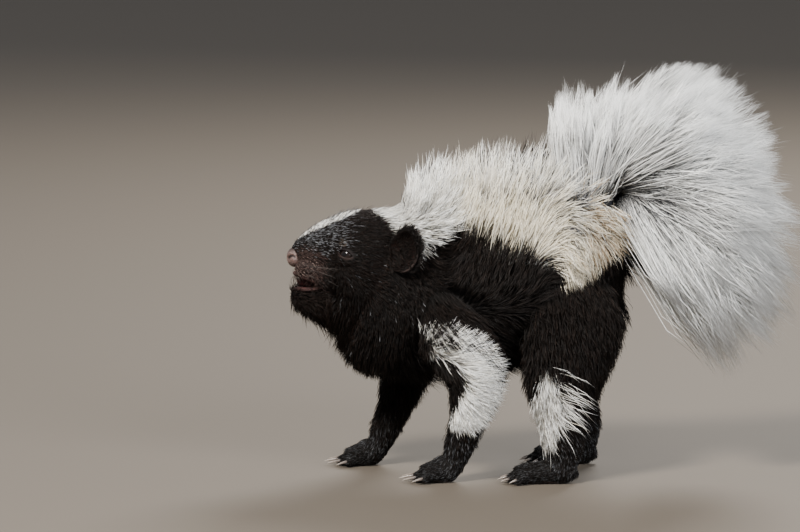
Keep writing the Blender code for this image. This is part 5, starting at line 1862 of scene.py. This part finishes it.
@dataclass
class FurCoat:
    """The whole coat: roots scattered over the skin, groomed part by part, and built as pieces."""

    shop: Workshop
    skin: Item
    groomer: Groomer
    coat: Coat
    wardrobe: Wardrobe
    rng: np.random.Generator
    # Triangles that one piece may have, and how many tufts the tail and all the rest get.
    limit: int = 195000
    tail_count: int = 34000
    total: int = 118000
    quick_share: float = 0.3
    # Tufts for each area: on the trunk by x, on belly and shoulder against that, on ears and paws, and on
    # the legs by height, with what their white patches get on top.
    trunk_density: Table = (
        (-82, 7), (-60, 5.2), (-45, 3.4), (-28, 2), (0, 1.25), (60, 1.2), (80, 1.4),
    )  # fmt: skip
    belly_share: float = 0.65
    shoulder: Triple = (-8.0, 0.0, 84.0)
    shoulder_radius: float = 26.0
    shoulder_share: float = 1.5
    ear_density: float = 4.2
    paw_density: float = 3.6
    leg_density: Table = ((8, 3.4), (30, 2.2), (70, 1.5))
    patch_extra: float = 1.8
    # Places along the trunk where head meets neck and neck meets back, and the angle where back meets flank.
    head_end: float = -38.0
    neck_end: float = -12.0
    flank_angle: float = 72.0

    def density(self, points: Array, labels: Array) -> Array:
        """How many tufts a place gets for its area: by its part, and none where the skin is bare."""
        section, angle = self.groomer.trunk.locate(points)
        dense = np.ones(len(points))
        on_trunk = np.isin(labels, (Part.TRUNK.value, Part.JAW.value))
        dense[on_trunk] = read_table(section, self.trunk_density)[on_trunk]
        dense[on_trunk & (np.abs(angle) > 120) & (section > -10)] *= self.belly_share
        shoulder = norm(points * (1, 0, 1) - self.shoulder, axis=1) < self.shoulder_radius
        dense[on_trunk & shoulder & (np.abs(points[:, 1]) > 15)] *= self.shoulder_share
        dense[labels == Part.PAW.value] = self.paw_density
        dense[labels == Part.EAR.value] = self.ear_density
        dense[labels == Part.TAIL.value] = 0.0
        pale = self.groomer.markings.white(points, np.zeros(len(points)))
        on_leg = np.isin(labels, [plan.part.value for plan in LIMBS])
        dense[on_leg] = (read_table(points[:, 2], self.leg_density) * (1 + self.patch_extra * pale))[on_leg]
        _, bareness = self.groomer.markings.bare(points)
        return dense * (1 - np.clip(bareness * 1.02, 0, 1))

    def roots(self) -> tuple[Array, Array, Array]:
        """Places, normals and parts of the roots, spread by area and density."""
        mesh = self.skin.data
        mesh.calc_loop_triangles()
        triangles = np.empty(len(mesh.loop_triangles) * 3, np.int32)
        mesh.loop_triangles.foreach_get("vertices", triangles)
        triangles = triangles.reshape(-1, 3)
        points, normals = self.shop.points_of(self.skin)
        a, b, c = (points[triangles[:, k]] for k in range(3))
        middle = (a + b + c) / 3
        labels = self.groomer.label(middle)
        area = 0.5 * norm(np.cross(b - a, c - a), axis=1)
        weight = area * self.density(middle, labels)
        count = int(self.total * (1.0))
        chosen = self.rng.choice(len(triangles), count, p=weight / weight.sum())
        u, v = self.rng.uniform(0, 1, (2, count, 1))
        flip = u + v > 1
        u, v = np.where(flip, 1 - u, u), np.where(flip, 1 - v, v)
        roots = a[chosen] * (1 - u - v) + b[chosen] * u + c[chosen] * v
        na, nb, nc = (normals[triangles[chosen, k]] for k in range(3))
        return roots, unit(na * (1 - u - v) + nb * u + nc * v), labels[chosen]

    def add(
        self, name: str, tufts: Tufts, rings: int, clump: float, clump_size: int, slot: str = "coat"
    ) -> None:
        """Builds tufts as one piece, or as several along their unwrap where one would be too large."""
        triangles = len(tufts.root) * 6 * rings
        parts = math.ceil(triangles / self.limit)
        order = np.argsort(tufts.unwrap[:, 0])
        for number, rows in enumerate(np.array_split(order, parts)):
            label = name if parts == 1 else f"{name}_{number + 1}"
            item = self.coat.piece(label, tufts.pick(rows), rings, clump, clump_size)
            self.wardrobe.dress(item, Look.TAIL if slot == "tail_coat" else Look.COAT, slot)

    def build(self) -> None:
        """Makes every piece of the coat."""
        roots, normals, labels = self.roots()
        groomer = self.groomer
        on_trunk = np.isin(labels, (Part.TRUNK.value, Part.JAW.value))
        tufts = groomer.trunk_tufts(roots[on_trunk], normals[on_trunk])
        section, steep = tufts.unwrap[:, 0], np.abs(tufts.unwrap[:, 1])
        body = section >= self.neck_end
        for name, chosen, rings, clump, clump_size in (
            ("coat_head", section < self.head_end, 1, 0.22, 6),
            ("coat_neck", (section >= self.head_end) & ~body, 2, 0.4, 8),
            ("coat_back", body & (steep < self.flank_angle), 2, 0.5, 12),
            ("coat_flank", body & (steep >= self.flank_angle), 1, 0.4, 8),
        ):
            self.add(name, tufts.pick(chosen), rings, clump, clump_size)
        for plan in LIMBS:
            here = labels == plan.part.value
            leg = groomer.limb_tufts(roots[here], normals[here], plan)
            self.add(f"coat_{plan.kind}leg_{plan.side.name.lower()}", leg, 2, 0.4, 7)
        here = labels == Part.PAW.value
        self.add("coat_paws", groomer.paw_tufts(roots[here], normals[here]), 1, 0.15, 5, "paw")
        here = labels == Part.EAR.value
        self.add("coat_ears", groomer.ear_tufts(roots[here], normals[here]), 1, 0.2, 5)
        count = int(self.tail_count * (1.0))
        self.add("coat_tail", groomer.tail_tufts(count), 2, 0.75, 36, "tail_coat")


@dataclass
class Studio:
    """The floor, the soft lights and the camera at the photo's angle."""

    place: Place
    elevation: float = 7.0
    distance: float = 2.4
    frame_width: float = 0.4
    sensor: float = 36.0
    aim: Triple = (-27.5, 0.0, 104.9)
    floor_radius: float = 16.0
    floor_tone: Triple = (0.08, 0.064, 0.047)
    world_tone: Triple = (0.8, 0.84, 0.9)
    world_strength: float = 0.5
    # Where the lights point, and each one's name, place, size, power and tone.
    lit: Triple = (0.0, 0.0, 0.1)
    lights: tuple[tuple[str, Triple, float, float, Triple], ...] = (
        ("key", (-0.75, -1.25, 1.5), 0.42, 94.0, (1.0, 0.96, 0.9)),
        ("fill", (1.2, -1.5, 1.0), 1.0, 54.0, (0.95, 0.97, 1.0)),
        ("rim", (0.5, 1.5, 1.3), 0.8, 60.0, (1.0, 0.98, 0.94)),
    )

    def camera(self) -> None:
        """A long lens that sees the frame's width at the animal."""
        data = bpy.data.cameras.new("camera")
        data.sensor_width = self.sensor
        data.lens = self.sensor * self.distance / self.frame_width
        item = bpy.data.objects.new("camera", data)
        tilt = math.radians(self.elevation)
        back = Vector((0.0, -math.cos(tilt), math.sin(tilt)))
        item.location = Vector(self.place.to_frame(np.array(self.aim))) + back * self.distance
        item.rotation_euler = (-back).to_track_quat("-Z", "Y").to_euler()
        data.clip_start, data.clip_end = 0.05, 60.0
        bpy.context.scene.collection.objects.link(item)
        bpy.context.scene.camera = item

    def light(self, name: str, where: Triple, size: float, power: float, tone: Triple) -> None:
        """A square area light turned to the animal."""
        data = bpy.data.lights.new(name, "AREA")
        data.size = size
        data.energy = power
        data.color = tone
        item = bpy.data.objects.new(name, data)
        item.location = where
        item.rotation_euler = (Vector(self.lit) - Vector(where)).to_track_quat("-Z", "Y").to_euler()
        bpy.context.scene.collection.objects.link(item)

    def floor(self) -> None:
        """A round matt floor, which is stage only."""
        mesh = bpy.data.meshes.new("floor")
        turn = np.linspace(0, 2 * math.pi, 96, endpoint=False)
        rim = self.floor_radius * np.stack([np.cos(turn), np.sin(turn), 0 * turn], axis=-1)
        mesh.from_pydata(rim.tolist(), [], [tuple(range(len(rim)))])
        floor = bpy.data.objects.new("floor", mesh)
        bpy.context.scene.collection.objects.link(floor)
        material = bpy.data.materials.new("floor")
        material.use_nodes = True
        shader = material.node_tree.nodes["Principled BSDF"].inputs
        shader["Base Color"].default_value = (*self.floor_tone, 1.0)
        shader["Roughness"].default_value = 0.85
        mesh.materials.append(material)
        floor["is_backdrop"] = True

    def build(self) -> None:
        """Sets up the floor, lights, world and camera."""
        self.floor()
        for light in self.lights:
            self.light(*light)
        world = bpy.data.worlds.new("studio")
        world.use_nodes = True
        background = world.node_tree.nodes["Background"].inputs
        background["Color"].default_value = (*self.world_tone, 1.0)
        background["Strength"].default_value = self.world_strength
        bpy.context.scene.world = world
        self.camera()


FLESH = ("head", "neck", "torso", "tail", "ear_left", "ear_right")
# Seed of all the coat's and the whiskers' random draws.
SEED = 11


def main() -> None:
    """Builds the skin, the small features, the coat and the studio."""
    logging.basicConfig(level=logging.INFO, format="%(message)s")
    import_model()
    solid_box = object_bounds()
    place = Place.from_frame()
    shop = Workshop(place)
    rng = np.random.default_rng(SEED)
    trunk, tail, markings = Trunk(), TailPlan(), Markings()
    wardrobe = Wardrobe()
    skin = Skin(shop, trunk, tail).build(markings)
    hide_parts(*FLESH)
    for plan in LIMBS:
        side = plan.side.name.lower()
        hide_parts(f"{plan.kind}leg_{side}", f"{plan.kind}paw_{side}")
    wardrobe.dress(skin, Look.SKIN, "paw")
    features = Features(shop, wardrobe)
    for side in Side:
        features.eye(side)
    features.nose()
    features.claws()
    features.whiskers(rng)
    groomer = Groomer(trunk, tail, markings, rng)
    room = tuple(place.to_design(np.array(corner)) for corner in solid_box)
    FurCoat(shop, skin, groomer, Coat(shop, rng, room), wardrobe, rng).build()
    Studio(place).build()


if __name__ == "__main__":
    main()
